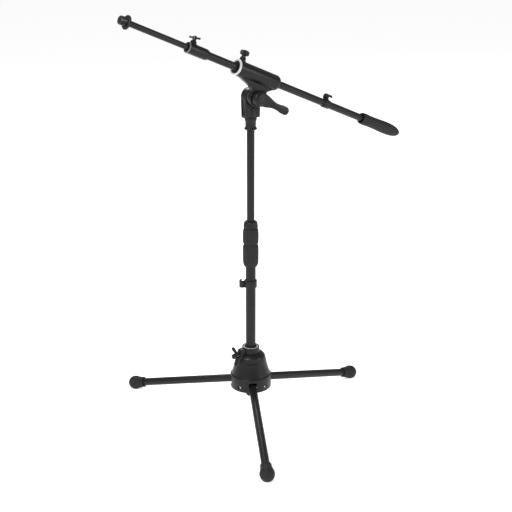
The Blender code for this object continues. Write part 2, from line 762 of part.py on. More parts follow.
def build_height_clutch(stand):
    """The twist grip with its insert, collet and top collar."""
    insert_radius = LOWER_RADIUS + GAP + INSERT_WALL
    insert_low = GRIP_LOW + 0.0100
    insert = tube(
        "grip_insert", insert_radius, LOWER_RADIUS + GAP, insert_low, LOWER_TOP, PLASTIC
    )
    place(insert, stand)
    collet_low = LOWER_TOP + 0.0040
    collet_top = GRIP_TOP - 0.0080
    collet_radius = UPPER_RADIUS + SLIDE_GAP + COLLET_WALL
    collet = [
        (UPPER_RADIUS + SLIDE_GAP, collet_top),
        (collet_radius - 0.0012, collet_top),
        (collet_radius, collet_low + 0.0100),
        (collet_radius, collet_low),
        (UPPER_RADIUS + SLIDE_GAP, collet_low),
    ]
    place(turned("pole_collet", collet, PLASTIC), stand)
    mouth = UPPER_RADIUS + 2 * SLIDE_GAP
    middle = (GRIP_LOW + GRIP_TOP) / 2 + 0.0065
    grip = [
        (mouth, GRIP_TOP),
        (GRIP_RADIUS - 0.0012, GRIP_TOP),
        (GRIP_RADIUS, middle + 0.0200),
        (GRIP_RADIUS - 0.0002, middle + 0.0070),
        (GRIP_WAIST, middle),
        (GRIP_RADIUS - 0.0002, middle - 0.0070),
        (GRIP_RADIUS, middle - 0.0200),
        (GRIP_RADIUS - 0.0003, GRIP_LOW + 0.0080),
        (GRIP_RADIUS - 0.0015, GRIP_LOW + 0.0035),
        (insert_radius + 0.0010, GRIP_LOW),
        (insert_radius + GAP, GRIP_LOW + 0.0010),
        (insert_radius + GAP, collet_low - GAP),
        (collet_radius + GAP, collet_low + 0.0010),
        (collet_radius + GAP, collet_top - 0.0050),
        (mouth + 0.0009, collet_top + 0.0020),
        (mouth, collet_top + 0.0040),
    ]
    place(turned("twist_grip", grip, RUBBER), stand)
    low = GRIP_TOP + GAP
    top = GRIP_TOP + GRIP_COLLAR_HEIGHT
    collar = [
        (mouth, top),
        (GRIP_RADIUS - 0.0042, top),
        (GRIP_RADIUS - 0.0022, top - 0.0040),
        (GRIP_RADIUS - 0.0014, low),
        (mouth, low),
    ]
    place(turned("grip_collar", collar, PLASTIC), stand)


def build_upper_pole(stand):
    """The upper tube with its guide bush."""
    inner = UPPER_RADIUS - UPPER_WALL
    upper = tube(
        "pole_upper_tube", UPPER_RADIUS, inner, UPPER_END, UPPER_TOP, POWDER_COAT
    )
    place(upper, stand)
    bush = tube(
        "pole_guide_bush",
        LOWER_RADIUS - LOWER_WALL - GAP,
        UPPER_RADIUS + GAP,
        UPPER_END,
        UPPER_END + GUIDE_LENGTH,
        PLASTIC,
    )
    place(bush, stand)


def build_head(stand):
    """The neck collar and the lower half of the clutch, fixed on the upper tube."""
    inner = UPPER_RADIUS + GAP
    top = BLOCK_LOW - GAP
    neck = [
        (inner, top),
        (SOCKET_RADIUS + 0.0013, top),
        (SOCKET_RADIUS - 0.0005, top - 0.0070),
        (SOCKET_RADIUS - 0.0005, NECK_LOW + 0.0034),
        (SOCKET_RADIUS + 0.0015, NECK_LOW + 0.0032),
        (SOCKET_RADIUS + 0.0015, NECK_LOW),
        (inner, NECK_LOW),
    ]
    place(turned("neck_collar", neck, PLASTIC), stand)
    rise = HINGE_HEIGHT - BLOCK_LOW
    outline = [
        (-BLOCK_FOOT / 2, -rise),
        (BLOCK_FOOT / 2, -rise),
        *arc((0, 0), BLOCK_RADIUS, 0, 180, 16),
    ]
    block = plate("clutch_lower_body", [outline], BLOCK_THICKNESS, CAST_BLACK)
    place(block, stand, (0, 0, HINGE_HEIGHT), (90.0, 0.0, 0.0))
    socket = rod("clutch_socket", SOCKET_RADIUS, BLOCK_LOW, UPPER_TOP + 0.0040)
    boolean(block, place(socket, stand), "UNION")
    bore = rod("socket_bore", inner, BLOCK_LOW - 0.0050, UPPER_TOP + GAP, sides=ROUND)
    boolean(block, place(bore, stand), "DIFFERENCE")
    hole = rod("block_hole", BOLT_RADIUS + GAP, -0.0300, 0.0300)
    place(hole, stand, (0, 0, HINGE_HEIGHT), (90.0, 0.0, 0.0))
    boolean(block, hole, "DIFFERENCE")


def build_clutch_bolt(hinge):
    """The washer, bolt and nut on the clutch axis."""
    along = (-90.0, 0.0, 0.0)
    back = BLOCK_THICKNESS / 2 + GAP
    washer = tube(
        "friction_washer",
        WASHER_RADIUS,
        BOLT_RADIUS + GAP,
        -(back + WASHER_THICKNESS),
        -back,
        FIBRE,
    )
    place(washer, hinge, (0, 0, 0), along)
    spring_from = DISC_FACE + DISC_THICKNESS + GAP
    spring = tube(
        "spring_washer",
        2 * BOLT_RADIUS,
        BOLT_RADIUS + GAP,
        -(spring_from + SPRING_WASHER_THICKNESS),
        -spring_from,
        STEEL,
        sides=SMALL_ROUND,
    )
    place(spring, hinge, (0, 0, 0), along)
    bolt = rod(
        "clutch_bolt",
        BOLT_RADIUS,
        -(LEVER_FACE + LEVER_HUB_LENGTH - 0.0040),
        back + NUT_LENGTH + 0.0015,
        STEEL,
    )
    place(bolt, hinge, (0, 0, 0), along)
    hexagon = arc((0, 0), NUT_RADIUS, 0, 300, 5)
    hole = arc((0, 0), BOLT_RADIUS + GAP, 0, 345, 23)
    nut = plate("clutch_nut", [hexagon, hole], NUT_LENGTH, STEEL)
    place(nut, hinge, (0, back + NUT_LENGTH / 2, 0), along)


def build_lever(hinge):
    """The clamping lever: a round hub with a paddle, and the cap on the hub."""
    axis = add_empty("lever_axis", hinge, (0, 0, 0), (0.0, LEVER_ANGLE, 0.0))
    face = -LEVER_FACE
    end = face - LEVER_HUB_LENGTH
    outline = [
        (BOLT_RADIUS + GAP, face),
        (LEVER_HUB_RADIUS - 0.0010, face),
        (LEVER_HUB_RADIUS, face - 0.0010),
        (LEVER_HUB_RADIUS, end + 0.0030),
        (LEVER_HUB_RADIUS - 0.0035, end),
        (0.0, end),
    ]
    blind = [(0.0, end + 0.0035), (BOLT_RADIUS + GAP, end + 0.0035)]
    lever = turned(
        "clutch_lever", blind + outline, CAST_BLACK, closed=False, sides=ROUND
    )
    place(lever, axis, (0, 0, 0), (-90.0, 0.0, 0.0))
    width = LEVER_TIP_RADIUS
    paddle = [
        (0.0060, -0.0120),
        (0.0160, -0.0105),
        (0.0300, -0.0066),
        (LEVER_LENGTH - 2 * width, -width),
        *arc((LEVER_LENGTH - width, 0), width, -75, 75, 8),
        (LEVER_LENGTH - 2 * width, width),
        (0.0300, 0.0066),
        (0.0160, 0.0105),
        (0.0060, 0.0120),
    ]
    blade = plate("lever_paddle", [paddle], LEVER_THICKNESS)
    centre = end + 0.0050
    place(blade, axis, (0, centre, 0), (90.0, 0.0, -LEVER_FLARE))
    boolean(lever, blade, "UNION")
    cap = rod(
        "lever_cap",
        LEVER_HUB_RADIUS - LEVER_CAP_INSET,
        end - GAP - LEVER_CAP_THICKNESS,
        end - GAP,
        PLASTIC,
        sides=ROUND,
    )
    place(cap, axis, (0, 0, 0), (-90.0, 0.0, 0.0))


def web_outline():
    """The web from the clutch disc up to the clamp, as (along boom, up) points."""
    clamp = BOOM_RISE - 0.6 * CLAMP_RADIUS
    skin = BOOM_RISE - CLAMP_RADIUS
    return [
        (-0.0130, 0.0040),
        (0.0140, 0.0020),
        (0.0180, 0.0110),
        (0.0260, 0.0160),
        (0.0380, skin - 0.0035),
        (0.0520, skin + 0.0015),
        (0.0520, clamp),
        (CLAMP_LOW + 0.0060, clamp),
        (CLAMP_LOW + 0.0060, skin + 0.0015),
        (-0.0200, skin - 0.0050),
        (-0.0150, 0.0130),
    ]


def build_boom_holder(holder, boom):
    """The upper half of the clutch: a disc, a web and the clamp round the boom."""
    body = tube(
        "boom_holder", CLAMP_RADIUS, CLAMP_BORE, CLAMP_LOW, CLAMP_HIGH, CAST_BLACK
    )
    place(body, boom)
    half = DISC_THICKNESS / 2
    disc = rod("holder_disc", BLOCK_RADIUS, -half, half, sides=ROUND)
    place(disc, holder, (0, 0, 0), (90.0, 0.0, 0.0))
    boolean(body, disc, "UNION")
    web = plate("holder_web", [web_outline()], WEB_THICKNESS)
    place(web, holder, (0, 0, 0), (-90.0, -90.0, 0.0))
    boolean(body, web, "UNION")
    boss = rod(
        "holder_boss", KNOB_BOSS_RADIUS, CLAMP_BORE - CLAMP_BUSH_WALL, KNOB_BOSS_HEIGHT
    )
    place(boss, boom, (0, 0, KNOB_STATION), (0.0, 90.0, 0.0))
    boolean(body, boss, "UNION")
    clear = rod(
        "holder_bore", CLAMP_BORE, CLAMP_LOW - 0.01, CLAMP_HIGH + 0.01, sides=ROUND
    )
    boolean(body, place(clear, boom), "DIFFERENCE")
    screw_hole = rod(
        "holder_screw_hole",
        KNOB_SCREW_RADIUS + GAP,
        0.0,
        KNOB_BOSS_HEIGHT + 0.0080,
        sides=ROUND,
    )
    place(screw_hole, boom, (0, 0, KNOB_STATION), (0.0, 90.0, 0.0))
    boolean(body, screw_hole, "DIFFERENCE")
    bolt_hole = rod(
        "holder_bolt_hole", BOLT_RADIUS + GAP, -DISC_THICKNESS, DISC_THICKNESS
    )
    place(bolt_hole, holder, (0, 0, 0), (90.0, 0.0, 0.0))
    boolean(body, bolt_hole, "DIFFERENCE")

    ring_low = CLAMP_HIGH + GAP
    ring = tube(
        "clamp_ring",
        CLAMP_RADIUS + CLAMP_RING_LIP,
        BOOM_RADIUS + 2 * SLIDE_GAP,
        ring_low,
        ring_low + CLAMP_RING_THICKNESS,
        PALE_PLASTIC,
    )
    place(ring, boom)
    bush = tube(
        "clamp_bush",
        CLAMP_BORE - GAP,
        BOOM_RADIUS + SLIDE_GAP,
        CLAMP_LOW,
        CLAMP_HIGH,
        PLASTIC,
    )
    place(bush, boom)


def build_clamp_knob(boom):
    """The knob and screw that clamp the boom."""
    axis = add_empty("clamp_knob_axis", boom, (0, 0, KNOB_STATION), (0.0, 90.0, 0.0))
    low = KNOB_BOSS_HEIGHT + GAP
    under = low + KNOB_NECK_HEIGHT
    top = under + KNOB_HEIGHT
    inside = under + KNOB_HEIGHT / 2
    screw = rod("clamp_knob_screw", KNOB_SCREW_RADIUS, CLAMP_BORE, inside, STEEL)
    place(screw, axis)
    hole = KNOB_SCREW_RADIUS + GAP
    outline = [
        (0.0, top),
        (KNOB_RADIUS - 0.0025, top),
        (KNOB_RADIUS, top - 0.0020),
        (KNOB_RADIUS, under + 0.0015),
        (KNOB_RADIUS - 0.0015, under),
        (KNOB_NECK_RADIUS, under),
        (KNOB_NECK_RADIUS, low),
        (hole, low),
        (hole, inside + GAP),
        (0.0, inside + GAP),
    ]
    knob = turned("clamp_knob", outline, PLASTIC, closed=False, sides=SMALL_ROUND)
    place(knob, axis)


def build_boom(boom):
    """The outer boom tube with its end grip and cable clip."""
    inner = BOOM_RADIUS - BOOM_WALL
    outer = tube(
        "boom_outer_tube", BOOM_RADIUS, inner, BOOM_TAIL, BOOM_END, POWDER_COAT
    )
    place(outer, boom)
    mouth = BOOM_RADIUS + GRIP_MOUTH_WALL
    belly = BOOM_RADIUS + GRIP_BELLY_WALL
    hollow = BOOM_RADIUS + GRIP_HOLLOW_WALL
    bore = BOOM_RADIUS + GAP
    grip = [
        (mouth - 0.0006, GRIP_MOUTH),
        (mouth, GRIP_MOUTH - 0.0008),
        (mouth + 0.0008, GRIP_MOUTH - 0.0110),
        (mouth + 0.0004, GRIP_MOUTH - 0.0260),
        (belly - 0.0003, GRIP_MOUTH - 0.0600),
        (belly, GRIP_MOUTH - 0.0780),
        (belly - 0.0010, GRIP_END + 0.0230),
        (belly - 0.0040, GRIP_END + 0.0095),
        (END_GRIP_TIP_RADIUS, GRIP_END + 0.0016),
        (0.0, GRIP_END),
        (0.0, BOOM_TAIL - GAP),
        (bore, BOOM_TAIL - GAP),
        (bore, GRIP_MOUTH - 0.0080),
        (hollow, GRIP_MOUTH - 0.0070),
        (hollow, GRIP_MOUTH),
    ]
    place(turned("boom_end_grip", rotated_start(grip), RUBBER, closed=False), boom)
    cable_clip(
        "boom_cable_clip",
        BOOM_RADIUS,
        BOOM_CLIP_WALL,
        boom,
        (0, 0, BOOM_CLIP_STATION),
        (0, 0, 0),
    )


def rotated_start(points):
    """Start a section at its inner end on the axis, so that it ends on the axis too."""
    start = next(
        at for at, point in enumerate(points[:-1]) if point[0] == points[at + 1][0] == 0
    )
    return points[start + 1 :] + points[: start + 1]


def build_sleeve(boom):
    """The clamping sleeve between the two boom tubes, with its T-screw."""
    step = BOOM_END + 2 * GAP
    outline = [
        (SLEEVE_BORE, SLEEVE_HEAD),
        (SLEEVE_RADIUS, SLEEVE_HEAD),
        (SLEEVE_RADIUS, SLEEVE_TAIL + 0.0050),
        (SLEEVE_RADIUS - 0.0016, SLEEVE_TAIL),
        (BOOM_RADIUS + GAP, SLEEVE_TAIL),
        (BOOM_RADIUS + GAP, step),
        (SLEEVE_BORE, step),
    ]
    sleeve = turned("sleeve_body", outline, CAST_BLACK)
    place(sleeve, boom)
    boss = [
        (0.0, BOSS_TOP),
        (T_STEM_RADIUS + 0.0013, BOSS_TOP),
        (T_STEM_RADIUS + 0.0029, SLEEVE_RADIUS - 0.0012),
        (0.0, SLEEVE_RADIUS - 0.0012),
    ]
    cone = turned("sleeve_boss", boss, closed=False, sides=SMALL_ROUND)
    place(cone, boom, (0, 0, T_STATION), (0.0, 90.0, 0.0))
    boolean(sleeve, cone, "UNION")
    hole = rod("sleeve_screw_hole", T_STEM_RADIUS - T_THREAD_STEP, 0.0, 2 * T_HEIGHT)
    place(hole, boom, (0, 0, T_STATION), (0.0, 90.0, 0.0))
    boolean(sleeve, hole, "DIFFERENCE")

    ring_low = SLEEVE_HEAD + GAP
    ring = tube(
        "sleeve_ring",
        SLEEVE_RADIUS,
        INNER_RADIUS + 2 * SLIDE_GAP,
        ring_low,
        ring_low + SLEEVE_RING_THICKNESS,
        PLASTIC,
    )
    place(ring, boom)
    bush = tube(
        "sleeve_bush",
        SLEEVE_BORE - GAP,
        INNER_RADIUS + SLIDE_GAP,
        SLEEVE_HEAD - SLEEVE_BUSH_LENGTH,
        SLEEVE_HEAD,
        PLASTIC,
    )
    place(bush, boom)
    build_t_screw(boom)


def build_t_screw(boom):
    """The T-screw: a stem with a loose cross bar."""
    axis = add_empty("t_screw_axis", boom, (0, 0, T_STATION), (0.0, 90.0, 0.0))
    thread = T_STEM_RADIUS - T_THREAD_STEP - GAP
    seat = BOSS_TOP + GAP
    top = T_HEIGHT + T_BAR_RADIUS + 0.0016
    outline = [
        (0.0, top),
        (T_STEM_RADIUS - 0.0008, top),
        (T_STEM_RADIUS, top - 0.0010),
        (T_STEM_RADIUS, seat),
        (thread, seat),
        (thread, SLEEVE_BORE),
        (0.0, SLEEVE_BORE),
    ]
    stem = turned("t_screw_stem", outline, STEEL, closed=False, sides=SMALL_ROUND)
    place(stem, axis)
    across = (90.0, 0.0, 90.0 - T_BAR_TURN)
    hole = rod("stem_cross_hole", T_BAR_RADIUS + GAP, -0.0100, 0.0100, sides=12)
    place(hole, axis, (0, 0, T_HEIGHT), across)
    boolean(stem, hole, "DIFFERENCE")
    half = T_BAR_LENGTH / 2
    bar = rod("t_screw_bar", T_BAR_RADIUS, -half, half, STEEL, sides=12)
    place(bar, axis, (0, 0, T_HEIGHT), across)


def build_tip(boom):
    """The inner boom tube, its end bush, and the threaded end with its lock nut."""
    inner = INNER_RADIUS - INNER_WALL
    slim = tube(
        "boom_inner_tube", INNER_RADIUS, inner, INNER_END, INNER_TIP, POWDER_COAT
    )
    place(slim, boom)
    guide = [
        (0.0, INNER_END + 0.0100),
        (inner - GAP, INNER_END + 0.0100),
        (inner - GAP, INNER_END - GAP),
        (BOOM_RADIUS - BOOM_WALL - GAP, INNER_END - GAP),
        (BOOM_RADIUS - BOOM_WALL - GAP, INNER_END - 0.0080),
        (0.0, INNER_END - 0.0080),
    ]
    place(turned("inner_tube_guide", guide, PLASTIC, closed=False), boom)
    bore_end = INNER_TIP + GAP
    stud = [
        (0.0, STUD_TIP),
        (STUD_RADIUS - 0.0008, STUD_TIP),
        (STUD_RADIUS, STUD_TIP - 0.0008),
        (STUD_RADIUS, STUD_SHOULDER + 0.0020),
        (INNER_RADIUS + 0.0014, STUD_SHOULDER),
        (INNER_RADIUS + GAP, STUD_SHOULDER),
        (INNER_RADIUS + GAP, bore_end),
        (0.0, bore_end),
    ]
    place(turned("mic_thread_stud", stud, STEEL, closed=False), boom)
    nut = tube(
        "mic_lock_nut",
        LOCK_NUT_RADIUS,
        STUD_RADIUS + GAP,
        LOCK_NUT_STATION,
        LOCK_NUT_STATION + LOCK_NUT_THICKNESS,
        PLASTIC,
        sides=ROUND,
    )
    place(nut, boom)


def smooth_all():
    """Shade the round pieces smooth, with their edges sharp."""
    for obj in PARTS.objects:
        if obj.type == "MESH":
            obj.data.shade_smooth()
            obj.data.set_sharp_from_angle(angle=math.radians(35.0))


def main():
    """Build the whole stand."""
    stand = add_empty("stand", None, (POLE_X, 0, 0))
    build_base(stand)
    build_legs(stand)
    build_lower_pole(stand)
    build_height_clutch(stand)
    build_upper_pole(stand)
    build_head(stand)
    hinge = add_empty("clutch_axis", stand, (0, 0, HINGE_HEIGHT))
    build_clutch_bolt(hinge)
    build_lever(hinge)
    tilt = BOOM_ELEVATION - 90.0
    holder = add_empty("boom_holder_axis", hinge, (0, -BOOM_OFFSET, 0), (0, tilt, 0))
    boom = add_empty("boom_axis", holder, (BOOM_RISE, 0, 0))
    build_boom_holder(holder, boom)
    build_clamp_knob(boom)
    build_boom(boom)
    build_sleeve(boom)
    build_tip(boom)
    smooth_all()


main()
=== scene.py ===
"""Looks of a boom microphone stand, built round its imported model.

Each sub-assembly is a class. It takes the place and size of its nodes from the frame, models
its pieces along the axis that they share, and dresses them in the finishes of the stand.
"""

import json
import logging
import math
from collections.abc import Callable, Mapping, Sequence
from dataclasses import dataclass
from enum import Enum

import bmesh
import bpy
import numpy as np
from mathutils import Matrix, Vector


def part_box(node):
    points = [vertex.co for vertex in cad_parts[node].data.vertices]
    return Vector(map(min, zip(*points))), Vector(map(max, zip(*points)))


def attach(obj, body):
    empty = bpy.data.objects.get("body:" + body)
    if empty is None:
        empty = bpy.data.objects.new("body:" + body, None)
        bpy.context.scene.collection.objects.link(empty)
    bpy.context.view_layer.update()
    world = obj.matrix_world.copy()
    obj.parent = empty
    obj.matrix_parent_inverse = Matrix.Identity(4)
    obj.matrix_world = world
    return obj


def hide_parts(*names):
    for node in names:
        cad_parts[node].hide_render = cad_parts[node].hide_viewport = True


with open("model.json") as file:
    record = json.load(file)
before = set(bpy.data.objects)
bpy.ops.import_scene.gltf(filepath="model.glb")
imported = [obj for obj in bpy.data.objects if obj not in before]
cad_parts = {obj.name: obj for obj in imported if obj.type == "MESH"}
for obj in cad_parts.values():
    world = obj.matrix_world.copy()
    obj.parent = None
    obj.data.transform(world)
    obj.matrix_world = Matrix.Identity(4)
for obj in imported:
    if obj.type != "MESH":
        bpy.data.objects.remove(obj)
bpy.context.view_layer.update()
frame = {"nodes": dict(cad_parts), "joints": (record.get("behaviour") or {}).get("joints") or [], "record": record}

LOG = logging.getLogger("boom_microphone_stand")
GAP = 0.0003
CUT_FINENESS = 0.000001
FINE = 96
ROUND = 64
SMALL = 36
BODY_OF = {
    node: body
    for body, nodes in frame["record"]["behaviour"]["bodies"].items()
    for node in nodes
}
SLOT_OF = {row["node"]: row["material_slot"] for row in frame["record"]["subparts"]}
JOINTS = {joint["name"]: joint for joint in frame["joints"]}

Point = tuple[float, ...]
Section = list[Point]
Test = Callable[[Vector], bool]


# ---------------------------------------------------------------- places and measures


@dataclass(frozen=True)
class Axis:
    """A line that pieces stand on: Z runs along it and X across it."""

    name: str
    matrix: Matrix

    @classmethod
    def through(
        cls, name: str, origin: Sequence[float], along: Sequence[float], across: Sequence[float]
    ) -> "Axis":
        """Set up an axis.

        Args:
            name: What the axis belongs to.
            origin: A point on it.
            along: The direction of its Z.
            across: A direction that its X leans towards.

        Returns:
            The axis, with its three directions square to each other.
        """
        z = Vector(along).normalized()
        x = Vector(across)
        x = (x - z * x.dot(z)).normalized()
        turn = Matrix((x, z.cross(x), z)).transposed().to_4x4()
        return cls(name, Matrix.Translation(origin) @ turn)

    def point(self, across: float, side: float, station: float) -> Vector:
        """A point of this axis's own frame, in the row frame."""
        return self.matrix @ Vector((across, side, station))

    def direction(self, index: int) -> Vector:
        """The direction of X, Y or Z, by its index."""
        return self.matrix.col[index].xyz

    def points_of(self, node: str) -> np.ndarray:
        """The points of a CAD node in this axis's own frame."""
        inverse = self.matrix.inverted()
        return np.array([inverse @ vertex.co for vertex in frame["nodes"][node].data.vertices])

    def farthest(self, node: str) -> Vector:
        """The direction, square to the axis, of the node's point that is farthest from it.

        Args:
            node: The CAD node's name.

        Returns:
            The direction, with a length of 1.
        """
        points = self.points_of(node)
        reach = np.hypot(points[:, 0], points[:, 1])
        best = points[reach.argmax()]
        return self.matrix.to_3x3() @ Vector((best[0], best[1], 0.0)).normalized()


@dataclass(frozen=True)
class Gauge:
    """How far a CAD node reaches along an axis, and how far out from it."""

    low: float
    high: float
    radius: float

    @classmethod
    def of(cls, node: str, axis: Axis) -> "Gauge":
        """Measure a node along an axis.

        Args:
            node: The CAD node's name.
            axis: The axis to measure along.

        Returns:
            How far the node reaches.
        """
        points = axis.points_of(node)
        reach = np.hypot(points[:, 0], points[:, 1])
        return cls(float(points[:, 2].min()), float(points[:, 2].max()), float(reach.max()))

    @property
    def middle(self) -> float:
        """The station halfway along the node."""
        return (self.low + self.high) / 2


def long_direction(node: str) -> Vector:
    """The direction that a long node runs in."""
    points = np.array([vertex.co for vertex in frame["nodes"][node].data.vertices])
    return Vector(np.linalg.svd(points - points.mean(0), full_matrices=False)[2][0])


def joint_axis(joint: str, name: str, across: Sequence[float]) -> Axis:
    """The axis of a hinge in the record."""
    row = JOINTS[joint]
    return Axis.through(name, row["pos_m"], row["axis"], across)


def stand_axes() -> dict[str, Axis]:
    """The axes that the whole stand is built on, by name.

    Returns:
        The axes of the pole, the clutch hinge and the boom.
    """
    low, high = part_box("pole_lower_tube")
    centre = (low + high) / 2
    pole = Axis.through("pole", (centre.x, centre.y, 0.0), (0, 0, 1), (1, 0, 0))
    hinge = joint_axis("boom_tilt", "hinge", (1, 0, 0))
    mount = next(row for row in frame["record"]["mounts"] if row["name"] == "mic_thread_end")
    tip = Vector(mount["pos_m"])
    along = Vector(mount["axis"]).normalized()
    foot = tip + along * (Vector(JOINTS["boom_tilt"]["pos_m"]) - tip).dot(along)
    boom = Axis.through("boom", foot, along, (0, 0, 1))
    return {"pole": pole, "hinge": hinge, "boom": boom}


# ---------------------------------------------------------------- sections and outlines


def softened(points: Sequence[Point], radius: float, steps: int = 3) -> Section:
    """Round the corners of a line of points.

    Args:
        points: (across, along) points, or (across, along, radius) where one differs.
        radius: How far from a corner its round starts.
        steps: The number of pieces in a round.

    Returns:
        The points with each inner corner replaced by a small curve.
    """
    made: Section = [points[0][:2]]
    for before, corner, after in zip(points, points[1:], points[2:]):
        here = Vector(corner[:2])
        back = Vector(before[:2]) - here
        ahead = Vector(after[:2]) - here
        reach = corner[2] if len(corner) > 2 else radius
        reach = min(reach, back.length * 0.45, ahead.length * 0.45)
        if reach < 1e-6 or back.angle(-ahead, 0.0) < math.radians(6.0):
            made.append(tuple(here))
            continue
        start = here + back.normalized() * reach
        end = here + ahead.normalized() * reach
        for step in range(steps + 1):
            t = step / steps
            at = start * (1 - t) ** 2 + here * 2 * t * (1 - t) + end * t**2
            made.append(tuple(at))
    made.append(points[-1][:2])
    return made


def closed_soft(points: Sequence[Point], radius: float, steps: int = 3) -> Section:
    """Round the corners of a closed line and end it where it starts.

    Args:
        points: The corners of the line, in order.
        radius: How far from a corner its round starts.
        steps: The number of pieces in a round.

    Returns:
        The rounded line, closed halfway along its first side.
    """
    first, second = Vector(points[0][:2]), Vector(points[1][:2])
    middle = tuple((first + second) / 2)
    return softened([middle, *points[1:], points[0], middle], radius, steps)


def arc(centre: Point, radius: float, start: float, end: float, steps: int) -> Section:
    """Points on an arc, from start to end in degrees."""
    turns = [math.radians(start + (end - start) * at / steps) for at in range(steps + 1)]
    return [
        (centre[0] + radius * math.cos(turn), centre[1] + radius * math.sin(turn)) for turn in turns
    ]


def flowing(points: Sequence[Point], steps: int = 6) -> Section:
    """A smooth line through these points.

    Args:
        points: The points to run through.
        steps: The number of pieces between two points.

    Returns:
        The points of the line.
    """
    ends = [points[0], *points, points[-1]]
    made: Section = []
    for a, b, c, d in zip(ends, ends[1:], ends[2:], ends[3:]):
        p, q, r, s = Vector(a[:2]), Vector(b[:2]), Vector(c[:2]), Vector(d[:2])
        for step in range(steps):
            t = step / steps
            at = q * 2 + (r - p) * t + (p * 2 - q * 5 + r * 4 - s) * t**2
            at += (q * 3 - p - r * 3 + s) * t**3
            made.append(tuple(at / 2))
    made.append(tuple(points[-1][:2]))
    return made


# ---------------------------------------------------------------- modelling moves


class Bench:
    """The modelling moves that every sub-assembly uses."""

    @staticmethod
    def start() -> None:
        """Deselect everything, in object mode."""
        if bpy.context.object and bpy.context.object.mode != "OBJECT":
            bpy.ops.object.mode_set(mode="OBJECT")
        bpy.ops.object.select_all(action="DESELECT")

    @staticmethod
    def focus(piece: bpy.types.Object) -> None:
        """Make this piece the only one selected.

        Args:
            piece: The piece to select.
        """
        Bench.start()
        piece.select_set(True)
        bpy.context.view_layer.objects.active = piece

    @staticmethod
    def edit(piece: bpy.types.Object) -> None:
        """Open a piece in edit mode with all of it selected.

        Args:
            piece: The piece to open.
        """
        Bench.focus(piece)
        bpy.ops.object.mode_set(mode="EDIT")
        bpy.ops.mesh.select_all(action="SELECT")

    @staticmethod
    def draw(name: str, points: Sequence[Vector]) -> bpy.types.Object:
        """Draw a line of joined points and stay in edit mode.

        Args:
            name: The name of the new object.
            points: The points, in order.

        Returns:
            The object, open in edit mode.
        """
        Bench.start()
        bpy.ops.mesh.primitive_plane_add(size=0.001)
        made = bpy.context.object
        made.name = name
        bpy.ops.object.mode_set(mode="EDIT")
        bpy.ops.mesh.select_all(action="SELECT")
        bpy.ops.mesh.merge(type="CENTER")
        bpy.ops.transform.translate(value=points[0])
        for before, after in zip(points, points[1:]):
            bpy.ops.mesh.extrude_region_move(TRANSFORM_OT_translate={"value": after - before})
        bpy.ops.mesh.select_all(action="SELECT")
        return made

    @staticmethod
    def close(made: bpy.types.Object) -> bpy.types.Object:
        """Merge doubles, point the faces outwards and leave edit mode.

        Args:
            made: The piece that is open in edit mode.

        Returns:
            The piece.
        """
        bpy.ops.mesh.select_all(action="SELECT")
        bpy.ops.mesh.remove_doubles(threshold=0.000002)
        bpy.ops.mesh.normals_make_consistent(inside=False)
        bpy.ops.object.mode_set(mode="OBJECT")
        return made

    @staticmethod
    def lathe(name: str, section: Sequence[Point], steps: int = ROUND) -> bpy.types.Object:
        """Turn a section about Z.

        Args:
            name: The name of the new object.
            section: (radius, height) points, closed or with both ends on the axis.
            steps: The number of sides.

        Returns:
            The turned piece.
        """
        points = [Vector((radius, 0.0, height)) for radius, height in section]
        made = Bench.draw(name, points)
        bpy.ops.mesh.spin(steps=steps, angle=math.tau, center=(0, 0, 0), axis=(0, 0, 1))
        return Bench.close(made)

    @staticmethod
    def slab(name: str, outline: Sequence[Point], low: float, high: float) -> bpy.types.Object:
        """Fill an outline in XY and extrude it along Z, from low to high.

        Args:
            name: The piece's name.
            outline: The points of its outline.
            low: The height of its underside.
            high: The height of its top.

        Returns:
            The slab.
        """
        made = Bench.draw(name, [Vector((x, y, low)) for x, y in outline])
        bpy.ops.mesh.edge_face_add()
        bpy.ops.mesh.extrude_region_move(TRANSFORM_OT_translate={"value": (0, 0, high - low)})
        return Bench.close(made)

    @staticmethod
    def rod(
        name: str, radius: float, low: float, high: float, steps: int = ROUND, soft: float = 0.0003
    ) -> bpy.types.Object:
        """A round bar along Z with softened ends."""
        ends = softened([(0, high), (radius, high), (radius, low), (0, low)], soft)
        return Bench.lathe(name, ends, steps)

    @staticmethod
    def tube(
        name: str, outer: float, inner: float, low: float, high: float, steps: int = ROUND
    ) -> bpy.types.Object:
        """A tube along Z with softened ends."""
        ring = [(inner, high), (outer, high), (outer, low), (inner, low)]
        return Bench.lathe(name, closed_soft(ring, (outer - inner) * 0.3), steps)

    @staticmethod
    def box(name: str, size: Sequence[float], place: Sequence[float]) -> bpy.types.Object:
        """A box of this size, with its middle at this place.

        Args:
            name: The piece's name.
            size: Its size along X, Y and Z.
            place: Where its middle is.

        Returns:
            The box.
        """
        Bench.start()
        bpy.ops.mesh.primitive_cube_add(size=1, location=place, scale=size)
        made = bpy.context.object
        made.name = name
        bpy.ops.object.transform_apply(location=True, rotation=True, scale=True)
        return made

    @staticmethod
    def place(piece: bpy.types.Object, matrix: Matrix) -> bpy.types.Object:
        """Move a piece to its place, with the place in its mesh.

        Args:
            piece: The piece to move.
            matrix: Its new place and turn.

        Returns:
            The piece.
        """
        Bench.focus(piece)
        piece.matrix_world = matrix
        bpy.ops.object.transform_apply(location=True, rotation=True, scale=True)
        return piece

    @staticmethod
    def apply(piece: bpy.types.Object, kind: str, **settings: object) -> bpy.types.Object:
        """Add a modifier with these settings and apply it.

        Args:
            piece: The piece to change.
            kind: The modifier's type.
            **settings: The modifier's settings, by name.

        Returns:
            The piece.
        """
        Bench.focus(piece)
        modifier = piece.modifiers.new(kind.lower(), kind)
        for name, value in settings.items():
            setattr(modifier, name, value)
        bpy.ops.object.modifier_apply(modifier=modifier.name)
        return piece

